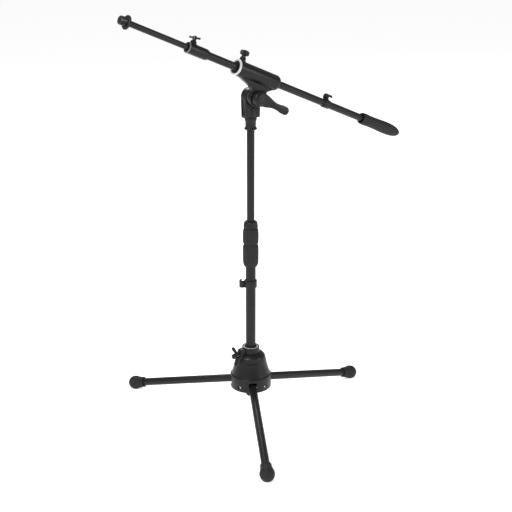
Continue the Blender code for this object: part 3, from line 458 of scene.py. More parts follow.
    @staticmethod
    def combine(
        piece: bpy.types.Object, tool: bpy.types.Object, operation: str
    ) -> bpy.types.Object:
        """Join, cut or cross a piece with a tool, which is used up.

        Args:
            piece: The piece to change.
            tool: The piece that changes it.
            operation: UNION, DIFFERENCE or INTERSECT.

        Returns:
            The piece.
        """
        Bench.apply(piece, "BOOLEAN", operation=operation, object=tool, solver="EXACT")
        bpy.data.objects.remove(tool)
        return piece

    @staticmethod
    def joined(pieces: Sequence[bpy.types.Object]) -> bpy.types.Object:
        """Gather separate pieces in one object.

        Args:
            pieces: The pieces to gather.

        Returns:
            The first piece, with the others in it.
        """
        Bench.focus(pieces[0])
        for piece in pieces:
            piece.select_set(True)
        bpy.ops.object.join()
        return pieces[0]

    @staticmethod
    def rounded(
        piece: bpy.types.Object, width: float, segments: int = 3, angle: float = 40.0
    ) -> bpy.types.Object:
        """Round the sharp edges of a piece."""
        return Bench.apply(
            piece,
            "BEVEL",
            width=width,
            segments=segments,
            limit_method="ANGLE",
            angle_limit=math.radians(angle),
        )

    @staticmethod
    def pick(piece: bpy.types.Object, test: Test) -> None:
        """In edit mode, select the points that pass a test, and what lies between them.

        Args:
            piece: The piece that is open in edit mode.
            test: Says whether a point is wanted.
        """
        bpy.ops.mesh.select_all(action="DESELECT")
        bpy.ops.mesh.select_mode(type="VERT")
        mesh = bmesh.from_edit_mesh(piece.data)
        for vertex in mesh.verts:
            vertex.select = test(vertex.co)
        mesh.select_flush(True)
        bmesh.update_edit_mesh(piece.data)

    @staticmethod
    def fluted(
        piece: bpy.types.Object,
        count: int,
        phases: int,
        depth: float,
        rim: float,
        low: float,
        high: float,
        sharpness: float = 1.0,
    ) -> bpy.types.Object:
        """Press grooves into the rim of a turned piece.

        Args:
            piece: A piece turned about Z in count * phases sides.
            count: The number of grooves.
            phases: The number of sides between two grooves.
            depth: How deep a groove is.
            rim: The radius beyond which points move.
            low: The height at which the grooves start.
            high: The height at which they end.
            sharpness: Above 1 the grooves are narrower than the lands between them.

        Returns:
            The piece.
        """
        Bench.edit(piece)
        side = math.tau / (count * phases)

        def phase_of(at: Vector) -> int:
            """Which phase of the wave a point lies in."""
            return round(math.atan2(at.y, at.x) / side) % phases

        for phase in range(phases):
            wave = 0.5 + 0.5 * math.cos(math.tau * phase / phases)
            shrink = 1 - depth * wave**sharpness / rim
            if shrink > 0.9999:
                continue
            Bench.pick(
                piece,
                lambda at: math.hypot(at.x, at.y) > rim
                and low < at.z < high
                and phase_of(at) == phase,
            )
            bpy.ops.transform.resize(value=(shrink, shrink, 1.0), center_override=(0, 0, 0))
        bpy.ops.object.mode_set(mode="OBJECT")
        return piece

    @staticmethod
    def thread(
        name: str, radius: float, depth: float, pitch: float, low: float, high: float
    ) -> bpy.types.Object:
        """A bar along Z with a helical thread and flat ends.

        Args:
            name: The bar's name.
            radius: The radius over the thread.
            depth: How deep the thread is cut.
            pitch: The rise of one turn.
            low: Where the bar starts.
            high: Where the bar ends.

        Returns:
            The bar.
        """
        start = low - 1.37 * pitch
        heights = ((0.0, depth), (0.38, 0.0), (0.54, 0.0), (0.92, depth), (1.0, depth))
        points = [Vector((radius - cut, 0.0, start + share * pitch)) for share, cut in heights]
        made = Bench.draw(name, points)
        bpy.ops.object.mode_set(mode="OBJECT")
        Bench.apply(
            made,
            "SCREW",
            steps=ROUND,
            render_steps=ROUND,
            screw_offset=pitch,
            iterations=math.ceil((high - low) / pitch) + 3,
            use_merge_vertices=False,
        )
        Bench.edit(made)
        bpy.ops.mesh.remove_doubles(threshold=0.000002)
        for height, clear in ((low, "clear_inner"), (high, "clear_outer")):
            bpy.ops.mesh.select_all(action="SELECT")
            bpy.ops.mesh.bisect(
                plane_co=(0, 0, height),
                plane_no=(0, 0, 1),
                use_fill=True,
                threshold=CUT_FINENESS,
                **{clear: True},
            )
        return Bench.close(made)


# ---------------------------------------------------------------- finishes


class Value:
    """A shader socket that takes part in Python arithmetic."""

    def __init__(self, graph: "Graph", socket: bpy.types.NodeSocket) -> None:
        """Wrap a socket of a graph."""
        self.graph = graph
        self.socket = socket

    def __add__(self, other: "Number") -> "Value":
        """This plus the other."""
        return self.graph.math("ADD", self, other)

    def __radd__(self, other: float) -> "Value":
        """A number plus this."""
        return self.graph.math("ADD", other, self)

    def __sub__(self, other: "Number") -> "Value":
        """This minus the other."""
        return self.graph.math("SUBTRACT", self, other)

    def __rsub__(self, other: float) -> "Value":
        """A number minus this."""
        return self.graph.math("SUBTRACT", other, self)

    def __mul__(self, other: "Number") -> "Value":
        """This times the other."""
        return self.graph.math("MULTIPLY", self, other)

    def __rmul__(self, other: float) -> "Value":
        """A number times this."""
        return self.graph.math("MULTIPLY", other, self)


Number = Value | float
Input = Value | float | tuple[float, ...]


class Graph:
    """A material under construction: its nodes, its pattern space and its shader."""

    def __init__(self, name: str, axis: Axis) -> None:
        """Start a material whose patterns run along an axis.

        Args:
            name: The material's name.
            axis: The axis of its patterns.
        """
        self.material = bpy.data.materials.new(name)
        self.material.use_nodes = True
        self.tree = self.material.node_tree
        self.shader = self.tree.nodes["Principled BSDF"]
        place = self.node("ShaderNodeTexCoord")
        self.space = self.value(
            self.node(
                "ShaderNodeMapping",
                {"vector_type": "TEXTURE"},
                {
                    "Vector": Value(self, place.outputs["Object"]),
                    "Location": tuple(axis.matrix.translation),
                    "Rotation": tuple(axis.matrix.to_euler()),
                },
            )
        )

    def node(
        self,
        kind: str,
        settings: Mapping[str, object] | None = None,
        inputs: Mapping[str | int, Input] | None = None,
    ) -> bpy.types.Node:
        """Add a node.

        Args:
            kind: The node's type.
            settings: Its own settings, set first. A ramp's stops are (place, grey) pairs.
            inputs: A value or a link for each socket.

        Returns:
            The node.
        """
        made = self.tree.nodes.new(kind)
        for name, value in (settings or {}).items():
            if name == "stops":
                self._set_stops(made.color_ramp, value)
            else:
                setattr(made, name, value)
        for name, value in (inputs or {}).items():
            self.feed(made.inputs[name], value)
        return made

    @staticmethod
    def _set_stops(ramp: bpy.types.ColorRamp, stops: Sequence[tuple[float, float]]) -> None:
        """Set the stops of a ramp to greys."""
        while len(ramp.elements) < len(stops):
            ramp.elements.new(1.0)
        for element, (place, grey) in zip(ramp.elements, stops):
            element.position = place
            element.color = (grey, grey, grey, 1.0)

    def feed(self, socket: bpy.types.NodeSocket, value: Input) -> None:
        """Link or set a socket."""
        if isinstance(value, Value):
            self.tree.links.new(value.socket, socket)
        else:
            socket.default_value = value

    def value(self, node: bpy.types.Node, output: int | str = 0) -> Value:
        """An output of a node, as a value."""
        return Value(self, node.outputs[output])

    def math(self, operation: str, first: Number, second: Number) -> Value:
        """Add a Math node."""
        node = self.node("ShaderNodeMath", {"operation": operation}, {0: first, 1: second})
        return self.value(node)

    def stretched(self, scale: Point) -> Value:
        """The pattern space, squeezed by this scale."""
        node = self.node("ShaderNodeMapping", None, {"Vector": self.space, "Scale": scale})
        return self.value(node)

    def noise(self, scale: float, detail: float = 2.0, space: Value | None = None) -> Value:
        """Noise with features of about 1 / scale metres, from 0 to 1."""
        node = self.node(
            "ShaderNodeTexNoise",
            None,
            {"Vector": space or self.space, "Scale": scale, "Detail": detail},
        )
        return self.value(node, "Fac")

    def grains(self, scale: float) -> Value:
        """Small cells, as the distance from the middle of each."""
        node = self.node("ShaderNodeTexVoronoi", None, {"Vector": self.space, "Scale": scale})
        return self.value(node, "Distance")

    def step(self, value: Value, low: float, high: float) -> Value:
        """A soft step from 0 at low to 1 at high."""
        node = self.node(
            "ShaderNodeMapRange",
            {"interpolation_type": "SMOOTHSTEP"},
            {"Value": value, "From Min": low, "From Max": high},
        )
        return self.value(node)

    def edges(self, low: float, high: float) -> Value:
        """A mask of the outer edges, from how pointed the surface is."""
        pointed = self.value(self.node("ShaderNodeNewGeometry"), "Pointiness")
        return self.step(pointed, low, high)

    def radius(self) -> Value:
        """The distance from the axis that the patterns run along.

        Returns:
            The distance.
        """
        flat = self.node(
            "ShaderNodeVectorMath",
            {"operation": "MULTIPLY"},
            {0: self.space, 1: (1.0, 1.0, 0.0)},
        )
        length = self.node(
            "ShaderNodeVectorMath", {"operation": "LENGTH"}, {0: self.value(flat)}
        )
        return self.value(length, "Value")

    def mixed(self, factor: Value, first: Point, second: Point) -> Value:
        """A colour between two, by a factor.

        Args:
            factor: 0 for the first colour, and 1 for the second.
            first: The first colour.
            second: The second colour.

        Returns:
            The colour.
        """
        node = self.node("ShaderNodeMix", {"data_type": "RGBA"}, {"Factor": factor})
        node.inputs[6].default_value = (*first, 1.0)
        node.inputs[7].default_value = (*second, 1.0)
        return self.value(node, 2)

    def relief(self, height: Value, distance: float, strength: float = 1.0) -> Value:
        """A normal from a height, where a height of 1 stands this distance proud."""
        node = self.node(
            "ShaderNodeBump", None, {"Height": height, "Distance": distance, "Strength": strength}
        )
        return self.value(node)

    def set(self, **inputs: Input) -> None:
        """Link or set sockets of the shader, named with underscores for spaces."""
        for name, value in inputs.items():
            socket = self.shader.inputs[name.replace("_", " ").title().replace("Ior", "IOR")]
            self.feed(socket, value)


@dataclass(frozen=True)
class Finish:
    """A finish of the stand. Its kinds say how it is laid on."""

    name: str
    colour: Point
    roughness: float
    shine: float = 0.22

    def material(self, axis: Axis) -> bpy.types.Material:
        """This finish with its patterns along an axis, made once for each axis.

        Args:
            axis: The axis of the patterns.

        Returns:
            The material.
        """
        name = f"{self.name}_{axis.name}"
        found = bpy.data.materials.get(name)
        if found is None:
            graph = Graph(name, axis)
            self.lay(graph)
            found = graph.material
        return found

    def lay(self, graph: Graph) -> None:
        """Build the finish on a graph."""
        raise NotImplementedError

    def lighter(self, share: float) -> Point:
        """This finish's colour, lightened by a share of the way to white."""
        return tuple(part + (1.0 - part) * share for part in self.colour)


@dataclass(frozen=True)
class PowderCoat(Finish):
    """Powder coat on tube: orange peel, a cloudy sheen and faint rubs along the tube."""

    peel: float = 0.000025
    rubs: float = 0.5

    def lay(self, graph: Graph) -> None:
        """Build the finish on a graph.

        Args:
            graph: The graph of the material.
        """
        clouds = graph.noise(55.0, 3.0)
        peel = graph.noise(1100.0, 2.0) + graph.grains(1700.0) * 0.4
        lines = graph.noise(1.0, 3.0, graph.stretched((2600.0, 2600.0, 14.0)))
        rubbed = graph.step(lines, 0.66, 0.76) * graph.step(clouds, 0.52, 0.70) * self.rubs
        dust = graph.step(graph.noise(2300.0, 1.0), 0.72, 0.80)
        graph.set(
            base_color=graph.mixed(rubbed + dust * 0.25, self.colour, self.lighter(0.07)),
            roughness=self.roughness + clouds * 0.12 - rubbed * 0.12,
            metallic=0.0,
            specular_ior_level=self.shine,
            normal=graph.relief(peel - rubbed * 0.3, self.peel),
        )


@dataclass(frozen=True)
class CastPaint(Finish):
    """Satin paint on a die casting: a soft grain, worn thin along the outer edges, where the paler colour is also
    a painted edge highlight.
    """

    grain: float = 0.00005

    def lay(self, graph: Graph) -> None:
        """Build the finish on a graph.

        Args:
            graph: The graph of the material.
        """
        clouds = graph.noise(40.0, 4.0)
        grain = graph.noise(750.0, 3.0) + graph.grains(520.0) * 0.35
        # Pointed outer edges get a paler, slightly metallic colour: partly real wear, partly a painted highlight.
        wear_and_edge_highlight = graph.edges(0.535, 0.62) * graph.step(graph.noise(210.0, 3.0), 0.42, 0.62)
        graph.set(
            base_color=graph.mixed(wear_and_edge_highlight * 0.4, self.colour, self.lighter(0.06)),
            roughness=self.roughness + clouds * 0.16 - wear_and_edge_highlight * 0.06,
            metallic=wear_and_edge_highlight * 0.1,
            specular_ior_level=self.shine,
            normal=graph.relief(grain, self.grain),
        )


@dataclass(frozen=True)
class Rubber(Finish):
    """Moulded rubber: dull, finely pitted, with dust in the pits and paler edges."""

    pits: float = 0.00006

    def lay(self, graph: Graph) -> None:
        """Build the finish on a graph.

        Args:
            graph: The graph of the material.
        """
        skin = graph.noise(1500.0, 3.0)
        bloom = graph.noise(70.0, 4.0)
        dust = graph.step(graph.noise(620.0, 2.0), 0.62, 0.78) * graph.step(bloom, 0.45, 0.65)
        scuffed = graph.edges(0.53, 0.60) * 0.5
        graph.set(
            base_color=graph.mixed(dust * 0.6 + scuffed * 0.4, self.colour, self.lighter(0.09)),
            roughness=self.roughness + bloom * 0.14,
            metallic=0.0,
            specular_ior_level=self.shine,
            normal=graph.relief(skin + graph.grains(2600.0) * 0.5, self.pits),
        )


@dataclass(frozen=True)
class MouldedPlastic(Finish):
    """Moulded plastic with a spark-eroded grain and a slight polish on its edges."""

    grain: float = 0.00003
    stain: float = 0.012

    def lay(self, graph: Graph) -> None:
        """Build the finish on a graph.

        Args:
            graph: The graph of the material.
        """
        grain = graph.grains(1900.0) + graph.noise(2600.0, 1.0) * 0.5
        clouds = graph.noise(90.0, 3.0)
        polished = graph.edges(0.53, 0.62)
        marks = graph.step(clouds, 0.48, 0.75)
        graph.set(
            base_color=graph.mixed(marks, self.colour, self.lighter(self.stain)),
            roughness=self.roughness + clouds * 0.12 - polished * 0.14,
            metallic=0.0,
            specular_ior_level=self.shine,
            normal=graph.relief(grain, self.grain),
        )


@dataclass(frozen=True)
class Metal(Finish):
    """Bare or plated metal with turning lines round its axis and small stains."""

    lines: float = 0.00001
    dull: Point = (0.30, 0.29, 0.27)

    def lay(self, graph: Graph) -> None:
        """Build the finish on a graph.

        Args:
            graph: The graph of the material.
        """
        turning = graph.noise(1.0, 2.0, graph.stretched((60.0, 60.0, 5200.0)))
        stains = graph.step(graph.noise(160.0, 4.0), 0.50, 0.72)
        graph.set(
            base_color=graph.mixed(stains, self.colour, self.dull),
            roughness=self.roughness + stains * 0.18 + turning * 0.10,
            metallic=1.0,
            normal=graph.relief(turning, self.lines),
        )


@dataclass(frozen=True)
class BlackedSteel(Finish):
    """Blackened steel, rubbed bright where it stands farthest from its axis."""

    crest: float = 0.0079
    band: float = 0.0003

    def lay(self, graph: Graph) -> None:
        """Build the finish on a graph.

        Args:
            graph: The graph of the material.
        """
        oxide = graph.noise(420.0, 4.0)
        crest = graph.step(graph.radius(), self.crest - self.band, self.crest)
        rubbed = crest * graph.step(graph.noise(900.0, 3.0), 0.50, 0.66)
        graph.set(
            base_color=graph.mixed(rubbed * 0.7, self.colour, (0.17, 0.165, 0.16)),
            roughness=self.roughness + oxide * 0.15 - rubbed * 0.12,
            metallic=0.35 + rubbed * 0.5,
            normal=graph.relief(oxide, 0.00001),
        )


class Stuff(Enum):
    """The finishes of the stand."""

    POWDER_COAT = PowderCoat("powder_coat", (0.0085, 0.0072, 0.0074), 0.36)
    CASTING = CastPaint("cast_paint", (0.0070, 0.0062, 0.0068), 0.30)
    RUBBER = Rubber("rubber", (0.0125, 0.0115, 0.0125), 0.58)
    PLASTIC = MouldedPlastic("moulded_plastic", (0.0080, 0.0074, 0.0080), 0.38)
    PALE_PLASTIC = MouldedPlastic("pale_plastic", (0.44, 0.43, 0.45), 0.42, stain=0.16)
    GREY_PLASTIC = MouldedPlastic("grey_plastic", (0.11, 0.11, 0.12), 0.40, stain=0.08)
    STEEL = Metal("zinc_steel", (0.62, 0.62, 0.64), 0.24)
    BLACK_STEEL = BlackedSteel("blacked_steel", (0.012, 0.0115, 0.012), 0.30)
    FIBRE = Rubber("friction_fibre", (0.09, 0.075, 0.06), 0.80)


STUFF_OF_SLOT = {
    "powder_coat": Stuff.POWDER_COAT,
    "casting": Stuff.CASTING,
    "rubber": Stuff.RUBBER,
    "plastic": Stuff.PLASTIC,
    "pale_plastic": Stuff.PALE_PLASTIC,
    "steel": Stuff.STEEL,
    "black_steel": Stuff.BLACK_STEEL,
    "fibre": Stuff.FIBRE,
}


# ---------------------------------------------------------------- sub-assemblies


class Assembly:
    """A sub-assembly: it models its pieces and dresses them."""

    axis: Axis

    def build(self) -> None:
        """Model and dress every piece of the sub-assembly."""
        raise NotImplementedError

    def dress(
        self,
        piece: bpy.types.Object,
        node: str,
        axis: Axis | None = None,
        stuff: "Stuff | None" = None,
    ) -> None:
        """Put a modelled piece in its place, in the stead of a CAD node.

        Args:
            piece: The piece, modelled in the frame of the axis.
            node: The CAD node that it stands for.
            axis: The axis that it is modelled on, if not the sub-assembly's own.
            stuff: Its finish, if not the usual one of its material slot.
        """
        axis = axis or self.axis
        Bench.place(piece, axis.matrix)
        bpy.ops.object.shade_smooth_by_angle(angle=math.radians(32.0))
        piece.name = f"{node}_fine"
        piece.data.name = piece.name
        slot = SLOT_OF[node]
        piece.data.materials.clear()
        piece.data.materials.append((stuff or STUFF_OF_SLOT[slot]).value.material(axis))
        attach(piece, BODY_OF[node])
        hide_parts(node)
        LOG.info("%s: %d faces on body %s", piece.name, len(piece.data.polygons), BODY_OF[node])

    def keep(self, *nodes: str, axis: Axis | None = None) -> None:
        """Give CAD nodes whose shape is right their finish."""
        for node in nodes:
            piece = frame["nodes"][node]
            material = STUFF_OF_SLOT[SLOT_OF[node]].value.material(axis or self.axis)
            piece.data.materials.clear()
            piece.data.materials.append(material)
            LOG.info("%s keeps its shape", node)

    def plain_tube(self, node: str, wall: float, steps: int = ROUND) -> None:
        """Model a tube node as a round tube with softened ends.

        Args:
            node: The tube's CAD node.
            wall: How thick its wall is.
            steps: The number of its sides.
        """
        size = Gauge.of(node, self.axis)
        tube = Bench.tube(node, size.radius, size.radius - wall, size.low, size.high, steps)
        self.dress(tube, node)


@dataclass
class Base(Assembly):
    """The bell casting with its ring, bush, lug, stop plate and screws."""

    axis: Axis
    leg_axes: list[Axis]
    wall: float = 0.0035
    collar_wall: float = 0.0055
    collar_height: float = 0.0125
    ring_rim: float = 0.0020
    skirt_height: float = 0.0280
    slot_roof: float = 0.0060
    leg_gap: float = 0.0008
    ear: float = 0.0040
    pin_radius: float = 0.0025
    lug_radius: float = 0.0075
    lug_step: float = 0.0008
    post_radius: float = 0.0040
    screw_radius: float = 0.0014
    ear_start: float = 0.0245
    ear_drop: float = 0.0010
    facet_reach: float = 0.0286
    facet_half: float = 0.0165
    facet_drop: float = 0.0305
    ring_width: float = 0.0027
    bush_rise: float = 0.0020

    def build(self) -> None:
        """Model and dress every piece of the base."""
        self.size = Gauge.of("base_casting", self.axis)
        self.bore = Gauge.of("base_bush", self.axis).radius + GAP
        self.collar = self.bore + self.collar_wall
        self.dress(self._bell(), "base_casting")
        ring = Gauge.of("base_collar_ring", self.axis)
        hole = ring.radius - self.ring_width
        rim = [
            (hole, ring.high - 0.0004, 0.0004),
            (ring.radius - 0.0010, ring.high, 0.0006),
            (ring.radius, ring.high - 0.0008, 0.0004),
            (ring.radius, ring.low),
            (hole, ring.low),
        ]
        self.dress(Bench.lathe("ring", closed_soft(rim, 0.0002), FINE), "base_collar_ring")
        self._bush()
        self.keep("leg_stop_plate")
        for number in (1, 2, 3):
            self._plate_screw(f"plate_screw_{number}")

    def _bush(self) -> None:
        """The bush between the casting and the pole, with a lip that stands above the ring."""
        size = Gauge.of("base_bush", self.axis)
        inner = Gauge.of("pole_lower_tube", self.axis).radius + GAP
        top = self.size.high + self.bush_rise
        line = [
            (inner, top - 0.0006, 0.0003),
            (inner + 0.0007, top, 0.0004),
            (size.radius - 0.0002, top - 0.0002, 0.0005),
            (size.radius, top - 0.0012, 0.0004),
            (size.radius, size.low, 0.0003),
            (inner, size.low, 0.0003),
        ]
        self.dress(Bench.lathe("bush", closed_soft(line, 0.0002), FINE), "base_bush")

    def _flank(self, inset: float) -> Section:
        """The outside of the bell from its shoulder down to its skirt, moved in by inset.

        Args:
            inset: How far inside the outer face the line lies.

        Returns:
            The points of the line.
        """
        top = self.size.high - self.collar_height
        skirt = self.size.low + self.skirt_height
        radius = self.size.radius
        line = flowing(
            [
                (self.collar + 0.0030, top + 0.0002),
                (radius - 0.0178, top - 0.0018),
                (radius - 0.0132, top - 0.0066),
                (radius - 0.0108, top - 0.0145),
                (radius - 0.0085, top - 0.0255),
                (radius - 0.0048, skirt + 0.0090),
                (radius - 0.0024, skirt + 0.0016),
            ]
        )
        return [(at - inset, height - inset * 0.4) for at, height in line]

    def _bell(self) -> bpy.types.Object:
        """The bell: a turned shell with cast ears, posts and lug, cut for the legs and pins.

        Returns:
            The bell.
        """
        low, high = self.size.low, self.size.high
        skirt = low + self.skirt_height
        radius = self.size.radius
        recess = self.collar - self.ring_rim
        ring_seat = Gauge.of("base_collar_ring", self.axis).low - GAP
        inside = [(at, height) for at, height in reversed(self._flank(self.wall))][:-8]
        roof = inside[-1][1]
        hub = self.bore + 0.0030
        section = [
            (recess, high),
            (self.collar, high, 0.0010),
            (self.collar, high - self.collar_height, 0.0020),
            *self._flank(0.0),
            (radius, skirt, 0.0010),
            (radius, low, 0.0008),
            (radius - self.wall, low, 0.0005),
            (radius - self.wall, skirt - 0.0030, 0.0020),
            *inside,
            (hub, roof, 0.0015),
            (hub, skirt + 0.0060, 0.0005),
            (self.bore, skirt + 0.0060),
            (self.bore, ring_seat),
            (recess, ring_seat),
        ]
        bell = Bench.lathe("bell", closed_soft(section, 0.0004), FINE)
        Bench.combine(bell, Bench.joined(self._cast_on()), "UNION")
        Bench.combine(bell, Bench.joined(self._slots()), "DIFFERENCE")
        Bench.combine(bell, Bench.joined(self._pin_bores()), "DIFFERENCE")
        screw = Gauge.of("wing_screw_shaft", wing_axis(self.axis))
        hole = Bench.rod("lug_hole", screw.radius + GAP, self.bore * 0.7, 0.0400, SMALL)
        Bench.place(hole, self._local(wing_axis(self.axis).matrix))
        Bench.combine(bell, hole, "DIFFERENCE")
        return Bench.combine(bell, self._facet(), "DIFFERENCE")

    def _local(self, matrix: Matrix) -> Matrix:
        """A matrix of the row frame, in the frame of this axis."""
        return self.axis.matrix.inverted() @ matrix

    def _cast_on(self) -> list[bpy.types.Object]:
        """The ears that hold the leg pins, the posts of the stop plate, and the lug.

        Returns:
            The pieces to join to the bell.
        """
        made = []
        plate = Gauge.of("leg_stop_plate", self.axis)
        skirt = self.size.low + self.skirt_height
        for leg in self.leg_axes:
            tube = Gauge.of(f"{leg.name}_tube", leg)
            azimuth = self._azimuth(leg)
            side = tube.radius + self.leg_gap + self.ear / 2
            reach = self.size.radius - self.wall / 2
            size = (reach - self.ear_start, self.ear, skirt - self.ear_drop - plate.high)
            middle = ((reach + self.ear_start) / 2, (skirt - self.ear_drop + plate.high) / 2)
            for sign in (-1, 1):
                ear = Bench.box("ear", size, (middle[0], sign * side, middle[1]))
                Bench.rounded(ear, 0.0004, 2)
                made.append(Bench.place(ear, Matrix.Rotation(azimuth, 4, "Z")))
            post = Bench.rod("post", self.post_radius, plate.high + GAP, skirt + 0.0060, SMALL)
            reach_of_post = self.size.radius - 0.0110
            turn = Matrix.Rotation(azimuth + math.pi, 4, "Z")
            made.append(Bench.place(post, turn @ Matrix.Translation((reach_of_post, 0, 0))))
        made.append(self._lug())
        return made

    def _lug(self) -> bpy.types.Object:
        """The lug of the wing screw: a block that runs out from the collar's top.

        Returns:
            The lug.
        """
        screw = wing_axis(self.axis)
        height = screw.matrix.translation.z
        end = Gauge.of("wing_screw_head", screw).low - GAP
        start = self.collar - self.ring_rim + 0.0005
        top = self.size.high - self.lug_step
        outline = [
            (start, top),
            (end - 0.0050, top, 0.0040),
            (end, top - 0.0035, 0.0040),
            (end, height - self.lug_radius, 0.0030),
            (end - 0.0060, height - self.lug_radius - 0.0060, 0.0030),
            (start, height - self.lug_radius - 0.0060),
        ]
        half = self.lug_radius
        lug = Bench.slab("lug", softened(outline, 0.0030, 5), -half, half)
        Bench.rounded(lug, 0.0028, 4, 50.0)
        upright = Matrix(((-1, 0, 0, 0), (0, 0, 1, 0), (0, 1, 0, 0), (0, 0, 0, 1)))
        return Bench.place(lug, upright)

    def _azimuth(self, leg: Axis) -> float:
        """The direction of a leg about the pole."""
        way = self._local(leg.matrix).col[2]
        return math.atan2(way.y, way.x)

    def _slots(self) -> list[bpy.types.Object]:
        """The slots that the legs swing in, with round upper corners.

        Returns:
            The cutters of the slots.
        """
        made = []
        low = self.size.low - 0.0100
        top = self.size.low + self.skirt_height - self.slot_roof
        for leg in self.leg_axes:
            half = Gauge.of(f"{leg.name}_tube", leg).radius + self.leg_gap - GAP
            corners = [(-half, low), (-half, top, 0.0050), (half, top, 0.0050), (half, low)]
            slot = Bench.slab("slot", softened(corners, 0.0050, 6), 0.0320, 0.0560)
            turn = Matrix.Rotation(self._azimuth(leg), 4, "Z")
            made.append(Bench.place(slot, turn @ upright_slab()))
        return made

    def _pin_bores(self) -> list[bpy.types.Object]:
        """The bores through the skirt that the leg pins are driven in by.

        Returns:
            The cutters of the bores.
        """
        made = []
        for leg in self.leg_axes:
            bore = Bench.rod("pin_bore", self.pin_radius + GAP, -0.0460, 0.0460, SMALL)
            pin = joint_axis(f"{leg.name}_fold", "pin", (0, 0, 1))
            made.append(Bench.place(bore, self._local(pin.matrix)))
        return made

    def _facet(self) -> bpy.types.Object:
        """A cutter for the flat facet on the front of the bell, with a shelf under it.

        Returns:
            The cutter.
        """
        turn = Matrix.Rotation(self._azimuth(self.leg_axes[-1]), 4, "Z")
        low = self.size.high - self.facet_drop
        high = self.size.high - self.collar_height - 0.0040
        half = self.facet_half
        corners = [(-half, low, 0.0050), (half, low, 0.0050), (half, high), (-half, high)]
        outline = closed_soft(corners, 0.0020, 6)
        cutter = Bench.slab("facet", outline[:-1], self.facet_reach, self.size.radius + 0.01)
        Bench.rounded(cutter, 0.0008, 3, 60.0)
        return Bench.place(cutter, turn @ upright_slab())

    def _plate_screw(self, node: str) -> None:
        """A pan-head screw with a cross recess, under the stop plate.

        Args:
            node: The screw's CAD node.
        """
        low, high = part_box(node)
        centre = (low + high) / 2
        axis = Axis.through(node, (centre.x, centre.y, 0.0), (0, 0, 1), (1, 0, 0))
        size = Gauge.of(node, axis)
        plate = Gauge.of("leg_stop_plate", self.axis)
        seat = plate.low - GAP
        line = [
            (0.0, size.high),
            (self.screw_radius, size.high, 0.0005),
            (self.screw_radius, seat),
            (size.radius, seat),
            (size.radius, size.low + 0.0006, 0.0006),
            (size.radius - 0.0009, size.low, 0.0006),
            (0.0, size.low),
        ]
        screw = Bench.lathe(node, softened(line, 0.0002), SMALL)
        for turn in (0.0, 90.0):
            bar = Bench.box("recess", (0.0034, 0.0007, 0.0020), (0, 0, 0))
            at = Matrix.Translation((0, 0, size.low))
            Bench.place(bar, at @ Matrix.Rotation(math.radians(turn), 4, "Z"))
            Bench.combine(screw, bar, "DIFFERENCE")
        self.dress(screw, node, axis)


def upright_slab() -> Matrix:
    """A matrix that stands a slab up: its X to the side, its Y up, its thickness outwards."""
    return Matrix(((0, 0, 1, 0), (1, 0, 0, 0), (0, 1, 0, 0), (0, 0, 0, 1)))


def wing_axis(pole: Axis) -> Axis:
    """The axis of the wing screw, with X along its wings.

    Args:
        pole: The axis of the pole.

    Returns:
        The axis.
    """
    axis = joint_axis("wing_screw_turn", "wing_screw", pole.direction(2))
    across = axis.farthest("wing_screw_head")
    return Axis.through("wing_screw", axis.matrix.translation, axis.direction(2), across)


@dataclass
class WingScrew(Assembly):
    """The screw that clamps the pole in the base, and its two wings."""

    axis: Axis
    hub_radius: float = 0.0055
    thickness: float = 0.0064
    finger: float = 0.0038

    def build(self) -> None:
        """Model and dress the screw and its wings."""
        size = Gauge.of("wing_screw_head", self.axis)
        shaft = Gauge.of("wing_screw_shaft", self.axis)
        line = [
            (0.0, size.high),
            (self.hub_radius - 0.0012, size.high, 0.0012),
            (self.hub_radius, size.high - 0.0030, 0.0015),
            (self.hub_radius, size.low + 0.0012),
            (self.hub_radius - 0.0006, size.low),
            (0.0, size.low),
        ]
        head = Bench.lathe("hub", softened(line, 0.0004), SMALL)
        for sign in (-1, 1):
            Bench.combine(head, self._wing(size, sign), "UNION")
        drill = Bench.rod("drill", shaft.radius + GAP, size.low - 0.01, shaft.high + GAP, SMALL)
        Bench.combine(head, drill, "DIFFERENCE")
        self.dress(head, "wing_screw_head")
        thread = Bench.thread("shaft", shaft.radius, 0.0004, 0.0008, shaft.low, shaft.high)
        self.dress(thread, "wing_screw_shaft")

    def _wing(self, size: Gauge, sign: int) -> bpy.types.Object:
        """One wing: a flattened finger that leans out from the hub.

        Args:
            size: The reach of the CAD node.
            sign: 1 or -1, for the wing's side.

        Returns:
            The wing.
        """
        root = Vector((sign * (self.hub_radius - 0.0018), 0, size.low + 0.0046))
        reach = size.radius - self.finger
        tip = Vector((sign * reach, 0, size.high - self.finger - 0.0012))
        length = (tip - root).length
        line = [
            *arc((0, length), self.finger, 90, 0, 8),
            (self.finger * 0.86, length * 0.45),
            (self.finger * 0.90, 0.0),
            (0.0, 0.0),
        ]
        finger = Bench.lathe("finger", softened(line, 0.0004), SMALL)
        flat = Matrix.Diagonal((1, self.thickness / 2 / self.finger, 1, 1))
        lean = (tip - root).to_track_quat("Z", "Y").to_matrix().to_4x4()
        upright = Matrix.Rotation(lean.col[1].xyz.angle(Vector((0, 1, 0))), 4, "Z")
        return Bench.place(finger, Matrix.Translation(root) @ flat @ lean @ upright)


